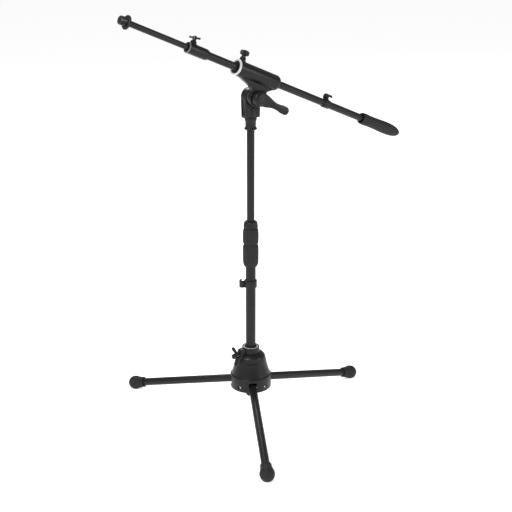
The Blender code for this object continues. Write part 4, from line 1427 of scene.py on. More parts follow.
@dataclass
class Leg(Assembly):
    """One leg: its tube, the plug in its tail, its rubber foot and its pin."""

    axis: Axis
    wall: float = 0.0012
    pin_radius: float = 0.0025
    collar: float = 0.0030
    collar_length: float = 0.0066
    nose: float = 0.0160
    sole_height: float = 0.00002

    def build(self) -> None:
        """Model and dress every piece of the leg."""
        name = self.axis.name
        size = Gauge.of(f"{name}_tube", self.axis)
        tube = Bench.tube("leg", size.radius, size.radius - self.wall, size.low, size.high)
        hole = Bench.rod("hole", self.pin_radius + GAP, -0.0140, 0.0140, SMALL)
        pin = joint_axis(f"{name}_fold", f"{name}_pin", (0, 0, 1))
        Bench.place(hole, self.axis.matrix.inverted() @ pin.matrix)
        Bench.combine(tube, hole, "DIFFERENCE")
        self.dress(tube, f"{name}_tube")
        self.keep(f"{name}_plug")
        self._foot(f"{name}_foot", size)
        half = Gauge.of(f"{name}_pin", pin)
        bar = Bench.rod("pin", self.pin_radius, half.low, half.high, SMALL, 0.0008)
        self.dress(bar, f"{name}_pin", pin)

    def _foot(self, node: str, tube: Gauge) -> None:
        """The rubber foot: a lipped collar, a round bulb and a flat sole.

        Args:
            node: The foot's CAD node.
            tube: The reach of the leg's tube.
        """
        size = Gauge.of(node, self.axis)
        bore = tube.radius + GAP
        belly = size.high - self.nose
        collar = tube.radius + self.collar
        round_radius = size.radius - GAP / 2
        bulb = [
            (across * round_radius, belly + along * (self.nose - GAP / 2))
            for across, along in reversed(arc((0, 0), 1.0, -30, 84, 16))
        ]
        neck = size.low + self.collar_length
        line = [
            (0.0, belly + self.nose - GAP / 2),
            *bulb,
            (collar + 0.0008, neck + 0.0022, 0.0012),
            (collar - 0.0005, neck + 0.0006, 0.0006),
            (collar, neck - 0.0006, 0.0005),
            (collar, size.low + 0.0010, 0.0008),
            (collar - 0.0008, size.low, 0.0006),
            (bore, size.low),
            (bore, tube.high + GAP),
            (0.0, tube.high + GAP),
        ]
        foot = Bench.lathe(node, softened(line, 0.0003), ROUND)
        Bench.place(foot, self.axis.matrix)
        Bench.edit(foot)
        bpy.ops.mesh.bisect(
            plane_co=(0, 0, self.sole_height),
            plane_no=(0, 0, 1),
            use_fill=True,
            clear_inner=True,
            threshold=CUT_FINENESS,
        )
        Bench.close(foot)
        Bench.place(foot, self.axis.matrix.inverted())
        self.dress(foot, node)


def clip_outline(ring: float, channel: float, wall: float, mouth: float) -> Section:
    """The outline of a ring that ends in an open hook.

    Args:
        ring: The outer radius of the ring.
        channel: The radius of the channel in the hook.
        wall: The thickness of the hook.
        mouth: How far round the hook is open, in degrees.

    Returns:
        The outline, as (across, side) points.
    """
    reach = ring + channel
    hook = channel + wall
    join_x = (reach**2 + ring**2 - hook**2) / (2 * reach)
    join_y = math.sqrt(ring**2 - join_x**2)
    on_ring = math.degrees(math.atan2(join_y, join_x))
    on_hook = math.degrees(math.atan2(-join_y, join_x - reach))
    return [
        *arc((0, 0), ring, 360, on_ring, 48),
        *arc((reach, 0), hook, -on_hook, -mouth, 24)[1:],
        *arc((reach, 0), channel, -mouth, 165, 28),
    ]


@dataclass
class CableClip(Assembly):
    """A moulded spring clip on a tube, with an open hook for a cable."""

    axis: Axis
    node: str
    tube: str
    ring_wall: float = 0.0022
    wall: float = 0.0022
    channel: float = 0.0042
    mouth: float = 78.0

    def build(self) -> None:
        """Model and dress the clip."""
        bore = Gauge.of(self.tube, self.axis).radius + GAP
        size = Gauge.of(self.node, self.axis)
        across = self.axis.farthest(self.node)
        axis = Axis.through(
            self.axis.name, self.axis.matrix.translation, self.axis.direction(2), across
        )
        outline = clip_outline(bore + self.ring_wall, self.channel, self.wall, self.mouth)
        clip = Bench.slab(self.node, outline, size.low, size.high)
        hole = Bench.rod("clip_bore", bore, size.low - 0.01, size.high + 0.01, ROUND)
        Bench.combine(clip, hole, "DIFFERENCE")
        Bench.rounded(clip, 0.0005, 3, 50.0)
        self.dress(clip, self.node, axis)


@dataclass
class Pole(Assembly):
    """The telescopic pole with its plug, twist grip and collar."""

    axis: Axis
    wall: float = 0.0012
    grip_flutes: int = 32
    collar_flutes: int = 20

    def build(self) -> None:
        """Model and dress every piece of the pole."""
        self.plain_tube("pole_lower_tube", self.wall)
        self.plain_tube("pole_upper_tube", self.wall)
        self.keep("grip_insert", "pole_collet", "pole_guide_bush")
        self._end_plug()
        self._grip()
        self._collar()

    def _end_plug(self) -> None:
        """The plug in the lower end, with a chamfered head and a dimple under it."""
        size = Gauge.of("pole_end_plug", self.axis)
        tube = Gauge.of("pole_lower_tube", self.axis)
        seat = tube.low - GAP
        inner = tube.radius - self.wall - GAP
        line = [
            (0.0, size.high),
            (inner - 0.0008, size.high),
            (inner, size.high - 0.0010),
            (inner, seat),
            (size.radius, seat),
            (size.radius - 0.0010, size.low, 0.0008),
            (size.radius * 0.5, size.low, 0.0006),
            (size.radius * 0.4, size.low + 0.0010, 0.0006),
            (0.0, size.low + 0.0010),
        ]
        self.dress(Bench.lathe("plug", softened(line, 0.0003)), "pole_end_plug")

    def _grip(self) -> None:
        """The twist grip: two fluted swells with a waist between them."""
        size = Gauge.of("twist_grip", self.axis)
        upper = Gauge.of("pole_upper_tube", self.axis).radius + 2 * GAP
        lower = Gauge.of("grip_insert", self.axis)
        swell = size.radius
        middle = (size.low + size.high) / 2 + 0.0065
        outside = flowing(
            [
                (swell - 0.0016, size.high - 0.0012),
                (swell - 0.0004, size.high - 0.0060),
                (swell, middle + 0.0190),
                (swell - 0.0001, middle + 0.0080),
                (swell - 0.0006, middle + 0.0030),
                (swell - 0.0022, middle),
                (swell - 0.0006, middle - 0.0030),
                (swell - 0.0001, middle - 0.0080),
                (swell, middle - 0.0200),
                (swell - 0.0001, size.low + 0.0130),
                (swell - 0.0005, size.low + 0.0080),
                (swell - 0.0014, size.low + 0.0042),
                (swell - 0.0027, size.low + 0.0014),
            ],
            5,
        )
        line = [
            (upper, size.high),
            (swell - 0.0030, size.high, 0.0010),
            *outside,
            (lower.radius + 0.0008, size.low, 0.0008),
            (lower.radius + GAP, size.low + 0.0010),
            (lower.radius + GAP, lower.high + 0.0030),
            (upper + 0.0028, lower.high + 0.0050),
            (upper + 0.0028, size.high - 0.0130),
            (upper, size.high - 0.0040),
        ]
        phases = 4
        grip = Bench.lathe("grip", closed_soft(line, 0.0003), self.grip_flutes * phases)
        low, high = size.low + 0.0090, size.high - 0.0050
        rim = swell - 0.0022
        Bench.fluted(grip, self.grip_flutes, phases, 0.00035, rim, low, high, 2.0)
        self.dress(grip, "twist_grip")

    def _collar(self) -> None:
        """The domed collar above the grip, with ribs round its side."""
        size = Gauge.of("grip_collar", self.axis)
        bore = Gauge.of("pole_upper_tube", self.axis).radius + 2 * GAP
        dome = flowing(
            [
                (size.radius - 0.0034, size.high - 0.0002),
                (size.radius - 0.0018, size.high - 0.0018),
                (size.radius - 0.0008, size.high - 0.0045),
                (size.radius - 0.0002, size.high - 0.0085),
                (size.radius, size.low + 0.0022),
            ],
            5,
        )
        line = [
            (bore, size.high - 0.0012),
            (bore + 0.0006, size.high, 0.0004),
            *dome,
            (size.radius, size.low + 0.0008),
            (size.radius - 0.0006, size.low),
            (bore, size.low),
        ]
        phases = 6
        collar = Bench.lathe("collar", closed_soft(line, 0.0003), self.collar_flutes * phases)
        low, high = size.low + 0.0025, size.high - 0.0030
        rim = size.radius * 0.86
        Bench.fluted(collar, self.collar_flutes, phases, 0.0005, rim, low, high, 2.5)
        self.dress(collar, "grip_collar")


@dataclass
class Clutch(Assembly):
    """The lower half of the clutch head, with its neck, bolt, washers and nut."""

    axis: Axis
    pole: Axis
    foot: float = 0.0330
    socket_wall: float = 0.0030
    recess: float = 0.0016

    def build(self) -> None:
        """Model and dress the block and what goes through it."""
        self._neck()
        self._block()
        self.keep("friction_washer")
        size = Gauge.of("spring_washer", self.axis)
        bolt = Gauge.of("clutch_bolt", self.axis)
        washer = Bench.tube("washer", size.radius, bolt.radius + GAP, size.low, size.high)
        self.dress(washer, "spring_washer")
        thread = Bench.thread("bolt", bolt.radius, 0.0005, 0.00125, bolt.low, bolt.high)
        self.dress(thread, "clutch_bolt")
        self._nut(bolt)

    def _neck(self) -> None:
        """The collar under the block, with a flange at its foot."""
        size = Gauge.of("neck_collar", self.pole)
        bore = Gauge.of("pole_upper_tube", self.pole).radius + GAP
        line = [
            (bore, size.high),
            (size.radius - 0.0004, size.high, 0.0006),
            (size.radius - 0.0006, size.high - 0.0040),
            (size.radius - 0.0020, size.high - 0.0080, 0.0015),
            (size.radius - 0.0022, size.low + 0.0050, 0.0012),
            (size.radius - 0.0006, size.low + 0.0034, 0.0008),
            (size.radius, size.low + 0.0026, 0.0006),
            (size.radius, size.low + 0.0006, 0.0006),
            (size.radius - 0.0008, size.low, 0.0005),
            (bore, size.low),
        ]
        self.dress(Bench.lathe("neck", closed_soft(line, 0.0003)), "neck_collar", self.pole)

    def _block(self) -> None:
        """The block: a rounded plate with recessed ends, a socket below and a bolt hole."""
        points = self.axis.points_of("clutch_lower_body")
        across = self.axis.matrix.to_3x3().inverted() @ Vector((0, 0, 1))
        heights = points[:, 0] * across.x + points[:, 1] * across.y
        drop, radius = -float(heights.min()), float(heights.max())
        size = Gauge.of("clutch_lower_body", self.pole)
        tube = Gauge.of("pole_upper_tube", self.pole)
        hinge_height = self.axis.matrix.translation.z
        face = -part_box("friction_washer")[1].y - GAP
        wide = self.foot / 2
        outline = [
            (-wide, -drop, 0.0015),
            (wide, -drop, 0.0015),
            *arc((0, 0), radius, 0, 180, 32),
        ]
        flat = [point[:2] for point in outline]
        block = Bench.slab("block", flat, -face, face)
        Bench.rounded(block, 0.0016, 4, 40.0)
        for sign in (-1, 1):
            pocket = [
                (sign * (wide + 0.0030), -drop + 0.0060),
                (sign * (wide - self.recess), -drop + 0.0060),
                (sign * (radius - self.recess), -0.0050),
                (sign * (radius + 0.0030), -0.0050),
            ]
            cut = Bench.slab("pocket", pocket, -face + 0.0030, face - 0.0030)
            Bench.rounded(cut, 0.0008, 2)
            Bench.combine(block, cut, "DIFFERENCE")
        upright = Matrix(((1, 0, 0, 0), (0, 0, -1, 0), (0, 1, 0, 0), (0, 0, 0, 1)))
        lift = Matrix.Translation((0, 0, hinge_height))
        Bench.place(block, lift @ upright)
        bore = tube.radius + GAP
        socket = Bench.rod("socket", bore + self.socket_wall, size.low, tube.high + 0.0040)
        Bench.combine(block, socket, "UNION")
        drill = Bench.rod("drill", bore, size.low - 0.01, tube.high + GAP)
        Bench.combine(block, drill, "DIFFERENCE")
        hole = Gauge.of("clutch_bolt", self.axis).radius + GAP
        through = Bench.rod("through", hole, -0.03, 0.03, SMALL)
        Bench.place(through, self.pole.matrix.inverted() @ self.axis.matrix)
        Bench.combine(block, through, "DIFFERENCE")
        self.dress(block, "clutch_lower_body", self.pole)

    def _nut(self, bolt: Gauge) -> None:
        """The hexagon nut on the far side, with chamfered corners.

        Args:
            bolt: The reach of the clutch bolt.
        """
        size = Gauge.of("clutch_nut", self.axis)
        Bench.start()
        bpy.ops.mesh.primitive_cylinder_add(
            vertices=6,
            radius=size.radius,
            depth=size.high - size.low,
            location=(0, 0, size.middle),
            rotation=(0, 0, math.radians(30.0)),
        )
        nut = bpy.context.object
        bpy.ops.object.transform_apply(location=True, rotation=True, scale=True)
        cone = [
            (0.0, size.high),
            (size.radius * 0.86, size.high),
            (size.radius * 1.02, size.high - 0.0012),
            (size.radius * 1.02, size.low + 0.0012),
            (size.radius * 0.86, size.low),
            (0.0, size.low),
        ]
        Bench.combine(nut, Bench.lathe("cone", cone), "INTERSECT")
        drill = Bench.rod("drill", bolt.radius + GAP, size.low - 0.01, size.high + 0.01, SMALL)
        Bench.combine(nut, drill, "DIFFERENCE")
        self.dress(nut, "clutch_nut")


@dataclass
class Lever(Assembly):
    """The clamping lever on the clutch axis: a hub, a paddle and a cap."""

    axis: Axis
    flare: float = 8.0
    thickness: float = 0.0064
    tip: float = 0.0082
    hub_radius: float = 0.0155

    def build(self) -> None:
        """Model and dress the lever and its cap."""
        size = Gauge.of("clutch_lever", self.axis)
        bolt = Gauge.of("clutch_bolt", self.axis)
        low = size.low
        cap = Gauge.of("lever_cap", self.axis)
        end = cap.low - GAP
        hub = self.hub_radius
        line = [
            (0.0, end),
            (cap.radius + 0.0006, end, 0.0005),
            (hub - 0.0040, end - 0.0004, 0.0012),
            (hub - 0.0012, end - 0.0022, 0.0020),
            (hub, end - 0.0052, 0.0020),
            (hub, low + 0.0030),
            (hub - 0.0010, low + 0.0006, 0.0008),
            (hub - 0.0014, low),
            (bolt.radius + GAP, low),
            (bolt.radius + GAP, end - 0.0035),
            (0.0, end - 0.0035),
        ]
        lever = Bench.lathe("lever", softened(line, 0.0004), ROUND)
        Bench.combine(lever, self._paddle(size, end), "UNION")
        self.dress(lever, "clutch_lever")
        disc = [
            (0.0, cap.high),
            (cap.radius - 0.0010, cap.high - 0.0001, 0.0004),
            (cap.radius, cap.high - 0.0008, 0.0004),
            (cap.radius, cap.low),
            (0.0, cap.low),
        ]
        self.dress(Bench.lathe("cap", softened(disc, 0.0002)), "lever_cap")

    def _paddle(self, size: Gauge, end: float) -> bpy.types.Object:
        """The paddle: a waisted blade with a round end, rounded all over.

        Args:
            size: The reach of the CAD node.
            end: The station of the hub's outer face, under the cap.

        Returns:
            The paddle.
        """
        length = size.radius
        upper = flowing(
            [
                (0.0060, 0.0122),
                (0.0140, 0.0112),
                (0.0230, 0.0084),
                (0.0320, 0.0064),
                (0.0420, 0.0064),
                (length - 2 * self.tip, self.tip - 0.0004),
            ],
            5,
        )
        lower = [(at, -side) for at, side in reversed(upper)]
        nose = arc((length - self.tip, 0), self.tip, 80, -80, 16)
        half = self.thickness / 2
        blade = Bench.slab("paddle", [*upper, *nose, *lower], -half, half)
        Bench.rounded(blade, 0.0022, 5, 50.0)
        turn = Matrix.Rotation(math.radians(-self.flare), 4, "Y")
        return Bench.place(blade, Matrix.Translation((0, 0, end - 0.0050)) @ turn)


@dataclass
class BoomHolder(Assembly):
    """The upper half of the clutch: a disc, a web and the clamp round the boom."""

    axis: Axis
    hinge: Axis
    wall: float = 0.0045
    web_thickness: float = 0.0120
    boss_radius: float = 0.0060
    ring_width: float = 0.0036

    def build(self) -> None:
        """Model and dress the holder, its ring and its bush."""
        bush = Gauge.of("clamp_bush", self.axis)
        ring = Gauge.of("clamp_ring", self.axis)
        boom = Gauge.of("boom_outer_tube", self.axis)
        self.bore = bush.radius + GAP
        self.radius = self.bore + self.wall
        self.low, self.high = bush.low, ring.low - GAP
        clamp = self._clamp()
        Bench.combine(clamp, self._web(), "UNION")
        Bench.combine(clamp, self._disc(), "UNION")
        self._add_boss(clamp)
        drill = Bench.rod("drill", self.bore, self.low - 0.01, self.high + 0.01)
        Bench.combine(clamp, drill, "DIFFERENCE")
        hole = Gauge.of("clutch_bolt", self.hinge).radius + GAP
        through = Bench.rod("through", hole, -0.03, 0.06, SMALL)
        Bench.place(through, self.axis.matrix.inverted() @ self.hinge.matrix)
        Bench.combine(clamp, through, "DIFFERENCE")
        self.dress(clamp, "boom_holder")
        inner = ring.radius - self.ring_width
        line = [
            (inner, ring.high - 0.0004),
            (inner + 0.0005, ring.high),
            (ring.radius - 0.0008, ring.high, 0.0005),
            (ring.radius, ring.high - 0.0008, 0.0005),
            (ring.radius, ring.low),
            (inner, ring.low),
        ]
        self.dress(Bench.lathe("ring", closed_soft(line, 0.0003), FINE), "clamp_ring")
        flange = inner - GAP
        slide = boom.radius + GAP
        sleeve = [
            (slide, ring.high - 0.0008, 0.0004),
            (slide + 0.0010, ring.high - 0.0004, 0.0005),
            (flange - 0.0006, ring.high - 0.0004, 0.0005),
            (flange, ring.high - 0.0010, 0.0004),
            (flange, ring.low),
            (bush.radius, ring.low),
            (bush.radius, bush.low, 0.0004),
            (slide, bush.low, 0.0004),
        ]
        self.dress(Bench.lathe("bush", closed_soft(sleeve, 0.0002), FINE), "clamp_bush")

    def _clamp(self) -> bpy.types.Object:
        """The clamp as a solid bar with a rounded tail, bored once all is joined to it."""
        line = [
            (0.0, self.high),
            (self.radius, self.high, 0.0004),
            (self.radius, self.low + 0.0040, 0.0025),
            (self.radius - 0.0022, self.low, 0.0015),
            (0.0, self.low),
        ]
        return Bench.lathe("clamp", softened(line, 0.0003), FINE)

    def _web_frame(self) -> Matrix:
        """The frame that the web is drawn in: X along the boom, Y up, at the clutch disc.

        Returns:
            The frame.
        """
        rise = self._rise()
        shift = Matrix.Translation((-rise, 0, 0))
        turn = Matrix(((0, 1, 0, 0), (0, 0, 1, 0), (1, 0, 0, 0), (0, 0, 0, 1)))
        return shift @ turn

    def _rise(self) -> float:
        """How far the boom's axis stands above the clutch axis."""
        inverse = self.axis.matrix.inverted()
        return -(inverse @ self.hinge.matrix.translation).x

    def _web(self) -> bpy.types.Object:
        """The web that flows from the disc up into the clamp.

        Returns:
            The web.
        """
        rise = self._rise()
        skin = rise - self.radius
        seat = rise - 0.6 * self.radius
        right = flowing(
            [
                (0.0145, 0.0000),
                (0.0160, 0.0080),
                (0.0205, 0.0140),
                (0.0290, 0.0178),
                (0.0400, skin - 0.0030),
                (0.0525, skin + 0.0012),
            ],
            6,
        )
        left = flowing(
            [
                (self.low + 0.0055, skin + 0.0012),
                (-0.0240, skin - 0.0028),
                (-0.0175, 0.0165),
                (-0.0150, 0.0090),
                (-0.0145, 0.0000),
            ],
            6,
        )
        outline = [*right, (0.0525, seat), (self.low + 0.0055, seat), *left]
        half = self.web_thickness / 2
        web = Bench.slab("web", outline, -half, half)
        Bench.rounded(web, 0.0022, 4, 40.0)
        return Bench.place(web, self._web_frame())

    def _disc(self) -> bpy.types.Object:
        """The clutch disc, with a generous round on its outer edge.

        Returns:
            The disc.
        """
        points = self.hinge.points_of("boom_holder")
        near = np.hypot(points[:, 0], points[:, 1]) < 0.0185
        stations = points[near][:, 2]
        low, high = float(stations.min()), float(stations.max())
        radius = Gauge.of("clutch_lower_body", self.hinge).radius
        radius = min(radius, 0.0175)
        line = [
            (0.0, high),
            (radius - 0.0004, high, 0.0003),
            (radius, high - 0.0010, 0.0006),
            (radius, low + 0.0030, 0.0028),
            (radius - 0.0024, low, 0.0020),
            (0.0, low),
        ]
        disc = Bench.lathe("disc", softened(line, 0.0005), FINE)
        return Bench.place(disc, self.axis.matrix.inverted() @ self.hinge.matrix)

    def _add_boss(self, clamp: bpy.types.Object) -> None:
        """The boss of the clamp screw, with its hole.

        Args:
            clamp: The clamp that it stands on.
        """
        knob = joint_axis("clamp_knob_turn", "clamp_knob", self.axis.direction(2))
        local = self.axis.matrix.inverted() @ knob.matrix
        top = Gauge.of("clamp_knob", knob).low - GAP
        line = [
            (0.0, top),
            (self.boss_radius - 0.0008, top, 0.0008),
            (self.boss_radius, top - 0.0040, 0.0010),
            (self.boss_radius + 0.0010, self.radius - 0.0010, 0.0010),
            (self.boss_radius + 0.0010, self.bore - 0.0030),
            (0.0, self.bore - 0.0030),
        ]
        boss = Bench.place(Bench.lathe("boss", softened(line, 0.0004), SMALL), local)
        Bench.combine(clamp, boss, "UNION")
        hole = Gauge.of("clamp_knob_screw", knob).radius + GAP
        drill = Bench.rod("hole", hole, 0, top + 0.01, SMALL)
        Bench.combine(clamp, Bench.place(drill, local), "DIFFERENCE")


@dataclass
class ClampKnob(Assembly):
    """The lobed knob that clamps the boom, and its screw."""

    axis: Axis
    lobes: int = 6
    neck: float = 0.0040
    neck_height: float = 0.0030

    def build(self) -> None:
        """Model and dress the knob and its screw."""
        size = Gauge.of("clamp_knob", self.axis)
        screw = Gauge.of("clamp_knob_screw", self.axis)
        under = size.low + self.neck_height
        bore = screw.radius + GAP
        line = [
            (0.0, size.high),
            (size.radius * 0.45, size.high - 0.0002),
            (size.radius * 0.80, size.high - 0.0010, 0.0010),
            (size.radius, size.high - 0.0028, 0.0012),
            (size.radius, under + 0.0022, 0.0010),
            (size.radius - 0.0018, under, 0.0010),
            (self.neck, under, 0.0006),
            (self.neck, size.low),
            (bore, size.low),
            (bore, screw.high + GAP),
            (0.0, screw.high + GAP),
        ]
        phases = 12
        knob = Bench.lathe("knob", softened(line, 0.0005, 4), self.lobes * phases)
        rim = size.radius * 0.62
        Bench.fluted(knob, self.lobes, phases, 0.0019, rim, under - 0.0001, 1.0, 1.6)
        self.dress(knob, "clamp_knob")
        thread = Bench.thread("screw", screw.radius, 0.0003, 0.0007, screw.low, screw.high)
        self.dress(thread, "clamp_knob_screw")


@dataclass
class Boom(Assembly):
    """The outer boom tube with its end grip, sleeve and T-screw."""

    axis: Axis
    wall: float = 0.0012
    ring_width: float = 0.0015
    boss_drop: float = 0.0055

    def build(self) -> None:
        """Model and dress every piece of the outer boom."""
        self.plain_tube("boom_outer_tube", self.wall)
        self._end_grip()
        self._sleeve()
        self._t_screw()

    def _end_grip(self) -> None:
        """The rubber grip on the tail: a lipped mouth, a belly and a blunt end."""
        size = Gauge.of("boom_end_grip", self.axis)
        tube = Gauge.of("boom_outer_tube", self.axis)
        mouth, belly = tube.radius + 0.0041, size.radius
        top = size.high
        outside = flowing(
            [
                (mouth + 0.0001, top - 0.0012),
                (mouth + 0.0006, top - 0.0050),
                (mouth + 0.0008, top - 0.0110),
                (mouth + 0.0003, top - 0.0250),
                (belly - 0.0009, top - 0.0450),
                (belly - 0.0002, top - 0.0620),
                (belly, top - 0.0780),
                (belly - 0.0006, size.low + 0.0280),
                (belly - 0.0021, size.low + 0.0170),
                (belly - 0.0046, size.low + 0.0087),
                (belly - 0.0076, size.low + 0.0034),
                (0.0030, size.low + 0.0014),
            ],
            5,
        )
        line = [
            (0.0, tube.low - GAP),
            (tube.radius + GAP, tube.low - GAP),
            (tube.radius + GAP, top - 0.0080),
            (tube.radius + 0.0022, top - 0.0070, 0.0006),
            (tube.radius + 0.0022, top - 0.0006, 0.0006),
            (tube.radius + 0.0028, top, 0.0006),
            (mouth - 0.0004, top, 0.0006),
            *outside,
            (0.0, size.low + 0.0011),
        ]
        self.dress(Bench.lathe("grip", softened(line, 0.0003)), "boom_end_grip")

    def _sleeve(self) -> None:
        """The sleeve where the inner tube slides in, its ring and its bush."""
        ring = Gauge.of("sleeve_ring", self.axis)
        bush = Gauge.of("sleeve_bush", self.axis)
        tube = Gauge.of("boom_outer_tube", self.axis)
        inner = Gauge.of("boom_inner_tube", self.axis)
        screw = joint_axis("t_screw_turn", "t_screw", self.axis.direction(2))
        tail = Gauge.of("sleeve_body", self.axis).low
        radius, bore = ring.radius, bush.radius + GAP
        head = ring.low - GAP
        line = [
            (bore, head),
            (radius, head),
            (radius, tail + 0.0060, 0.0015),
            (radius - 0.0018, tail + 0.0012, 0.0008),
            (radius - 0.0022, tail, 0.0004),
            (tube.radius + GAP, tail),
            (tube.radius + GAP, tube.high + 2 * GAP),
            (bore, tube.high + 2 * GAP),
        ]
        sleeve = Bench.lathe("sleeve", closed_soft(line, 0.0003), FINE)
        local = self.axis.matrix.inverted() @ screw.matrix
        stem = Gauge.of("t_screw_stem", screw)
        seat = Gauge.of("t_screw_bar", screw).middle - self.boss_drop
        cone = [
            (0.0, seat),
            (stem.radius + 0.0012, seat, 0.0005),
            (stem.radius + 0.0018, seat - 0.0016, 0.0010),
            (stem.radius + 0.0026, radius + 0.0006, 0.0012),
            (stem.radius + 0.0046, radius - 0.0016, 0.0010),
            (0.0, radius - 0.0016),
        ]
        boss = Bench.place(Bench.lathe("boss", softened(cone, 0.0004), SMALL), local)
        Bench.combine(sleeve, boss, "UNION")
        drill = Bench.rod("drill", stem.radius - 0.0005, 0.0, 0.04, SMALL)
        Bench.combine(sleeve, Bench.place(drill, local), "DIFFERENCE")
        self.dress(sleeve, "sleeve_body")
        lip = radius - self.ring_width
        rim = [
            (lip, ring.high - 0.0003),
            (lip + 0.0003, ring.high),
            (radius - 0.0004, ring.high, 0.0003),
            (radius, ring.high - 0.0005, 0.0003),
            (radius, ring.low),
            (lip, ring.low),
        ]
        rim_piece = Bench.lathe("ring", closed_soft(rim, 0.0002), FINE)
        self.dress(rim_piece, "sleeve_ring", stuff=Stuff.GREY_PLASTIC)
        slide, face = inner.radius + GAP, ring.high - 0.0006
        liner = [
            (slide + 0.0005, face, 0.0003),
            (bush.radius, face, 0.0004),
            (bush.radius, bush.low, 0.0003),
            (slide, bush.low, 0.0003),
            (slide, face - 0.0007, 0.0003),
        ]
        self.dress(Bench.lathe("liner", closed_soft(liner, 0.0002)), "sleeve_bush")

    def _t_screw(self) -> None:
        """The T-screw: a stem with a round head, and a cross bar with swaged ends."""
        screw = joint_axis("t_screw_turn", "t_screw", self.axis.direction(2))
        stem = Gauge.of("t_screw_stem", screw)
        centre = Gauge.of("t_screw_bar", screw).middle
        seat = centre - self.boss_drop + GAP
        shank = stem.radius - 0.0008
        line = [
            (0.0, stem.high),
            (stem.radius * 0.6, stem.high - 0.0001, 0.0004),
            (stem.radius, stem.high - 0.0012, 0.0008),
            (stem.radius, seat + 0.0004),
            (stem.radius - 0.0004, seat),
            (shank, seat),
            (shank, stem.low + 0.0005),
            (shank - 0.0005, stem.low),
            (0.0, stem.low),
        ]
        piece = Bench.lathe("stem", softened(line, 0.0003), SMALL)
        low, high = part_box("t_screw_bar")
        across = long_direction("t_screw_bar")
        bar = Axis.through("t_bar", (low + high) / 2, across, screw.direction(2))
        size = Gauge.of("t_screw_bar", bar)
        hole = Bench.rod("hole", size.radius + GAP, -0.01, 0.01, SMALL)
        Bench.place(hole, screw.matrix.inverted() @ bar.matrix)
        Bench.combine(piece, hole, "DIFFERENCE")
        self.dress(piece, "t_screw_stem", screw)
        waist = size.radius - 0.0002
        rod = [
            (0.0, size.high),
            (waist * 0.7, size.high - 0.0003, 0.0004),
            (size.radius, size.high - 0.0012, 0.0006),
            (size.radius, size.high - 0.0028, 0.0006),
            (waist, size.high - 0.0036, 0.0005),
            (waist, size.low + 0.0036, 0.0005),
            (size.radius, size.low + 0.0028, 0.0006),
            (size.radius, size.low + 0.0012, 0.0006),
            (waist * 0.7, size.low + 0.0003, 0.0004),
            (0.0, size.low),
        ]
        self.dress(Bench.lathe("bar", softened(rod, 0.0003), SMALL), "t_screw_bar", bar)


@dataclass
class Tip(Assembly):
    """The inner boom tube with the microphone thread and its lock nut."""

    axis: Axis
    wall: float = 0.0010
    pitch: float = 0.00094
    depth: float = 0.00052
    knurls: int = 40

    def build(self) -> None:
        """Model and dress every piece of the tip."""
        self.plain_tube("boom_inner_tube", self.wall)
        self.keep("inner_tube_guide")
        self._stud()
        self._lock_nut()

    def _stud(self) -> None:
        """The microphone thread on its shoulder, hollow where it grips the tube."""
        size = Gauge.of("mic_thread_stud", self.axis)
        tube = Gauge.of("boom_inner_tube", self.axis)
        stud = Bench.thread(
            "stud", size.radius, self.depth, self.pitch, size.low + 0.0062, size.high
        )
        envelope = [
            (0.0, size.high),
            (size.radius - 0.0010, size.high),
            (size.radius + 0.0002, size.high - 0.0012),
            (size.radius + 0.0002, size.low),
            (0.0, size.low),
        ]
        Bench.combine(stud, Bench.lathe("envelope", envelope), "INTERSECT")
        shoulder = [
            (0.0, size.low + 0.0068),
            (size.radius - 0.0007, size.low + 0.0068),
            (size.radius - 0.0007, size.low + 0.0026, 0.0006),
            (tube.radius + 0.0016, size.low, 0.0006),
            (0.0, size.low),
        ]
        Bench.combine(stud, Bench.lathe("shoulder", softened(shoulder, 0.0003)), "UNION")
        drill = Bench.rod("drill", tube.radius + GAP, size.low - 0.01, tube.high + GAP)
        Bench.combine(stud, drill, "DIFFERENCE")
        self.dress(stud, "mic_thread_stud")

    def _lock_nut(self) -> None:
        """The knurled lock nut behind the thread."""
        size = Gauge.of("mic_lock_nut", self.axis)
        bore = Gauge.of("mic_thread_stud", self.axis).radius + GAP
        line = [
            (bore, size.high - 0.0005),
            (bore + 0.0006, size.high),
            (size.radius - 0.0020, size.high, 0.0008),
            (size.radius, size.high - 0.0014, 0.0006),
            (size.radius, size.low + 0.0014, 0.0006),
            (size.radius - 0.0020, size.low, 0.0008),
            (bore + 0.0006, size.low),
            (bore, size.low + 0.0005),
        ]
        phases = 4
        nut = Bench.lathe("nut", closed_soft(line, 0.0003), self.knurls * phases)
        rim = size.radius - 0.0012
        Bench.fluted(nut, self.knurls, phases, 0.0004, rim, size.low, size.high, 1.0)
        self.dress(nut, "mic_lock_nut")


# ---------------------------------------------------------------- studio


@dataclass(frozen=True)
class Softbox:
    """A large soft light."""

    name: str
    place: Point
    target: Point
    size: float
    power: float

    def set_up(self) -> None:
        """Add the light, turned to its target."""
        lamp = bpy.data.lights.new(self.name, "AREA")
        lamp.shape = "DISK"
        lamp.size = self.size
        lamp.energy = self.power
        light = bpy.data.objects.new(self.name, lamp)
        bpy.context.scene.collection.objects.link(light)
        light.location = self.place
        way = Vector(self.target) - Vector(self.place)
        light.rotation_euler = way.to_track_quat("-Z", "Y").to_euler()


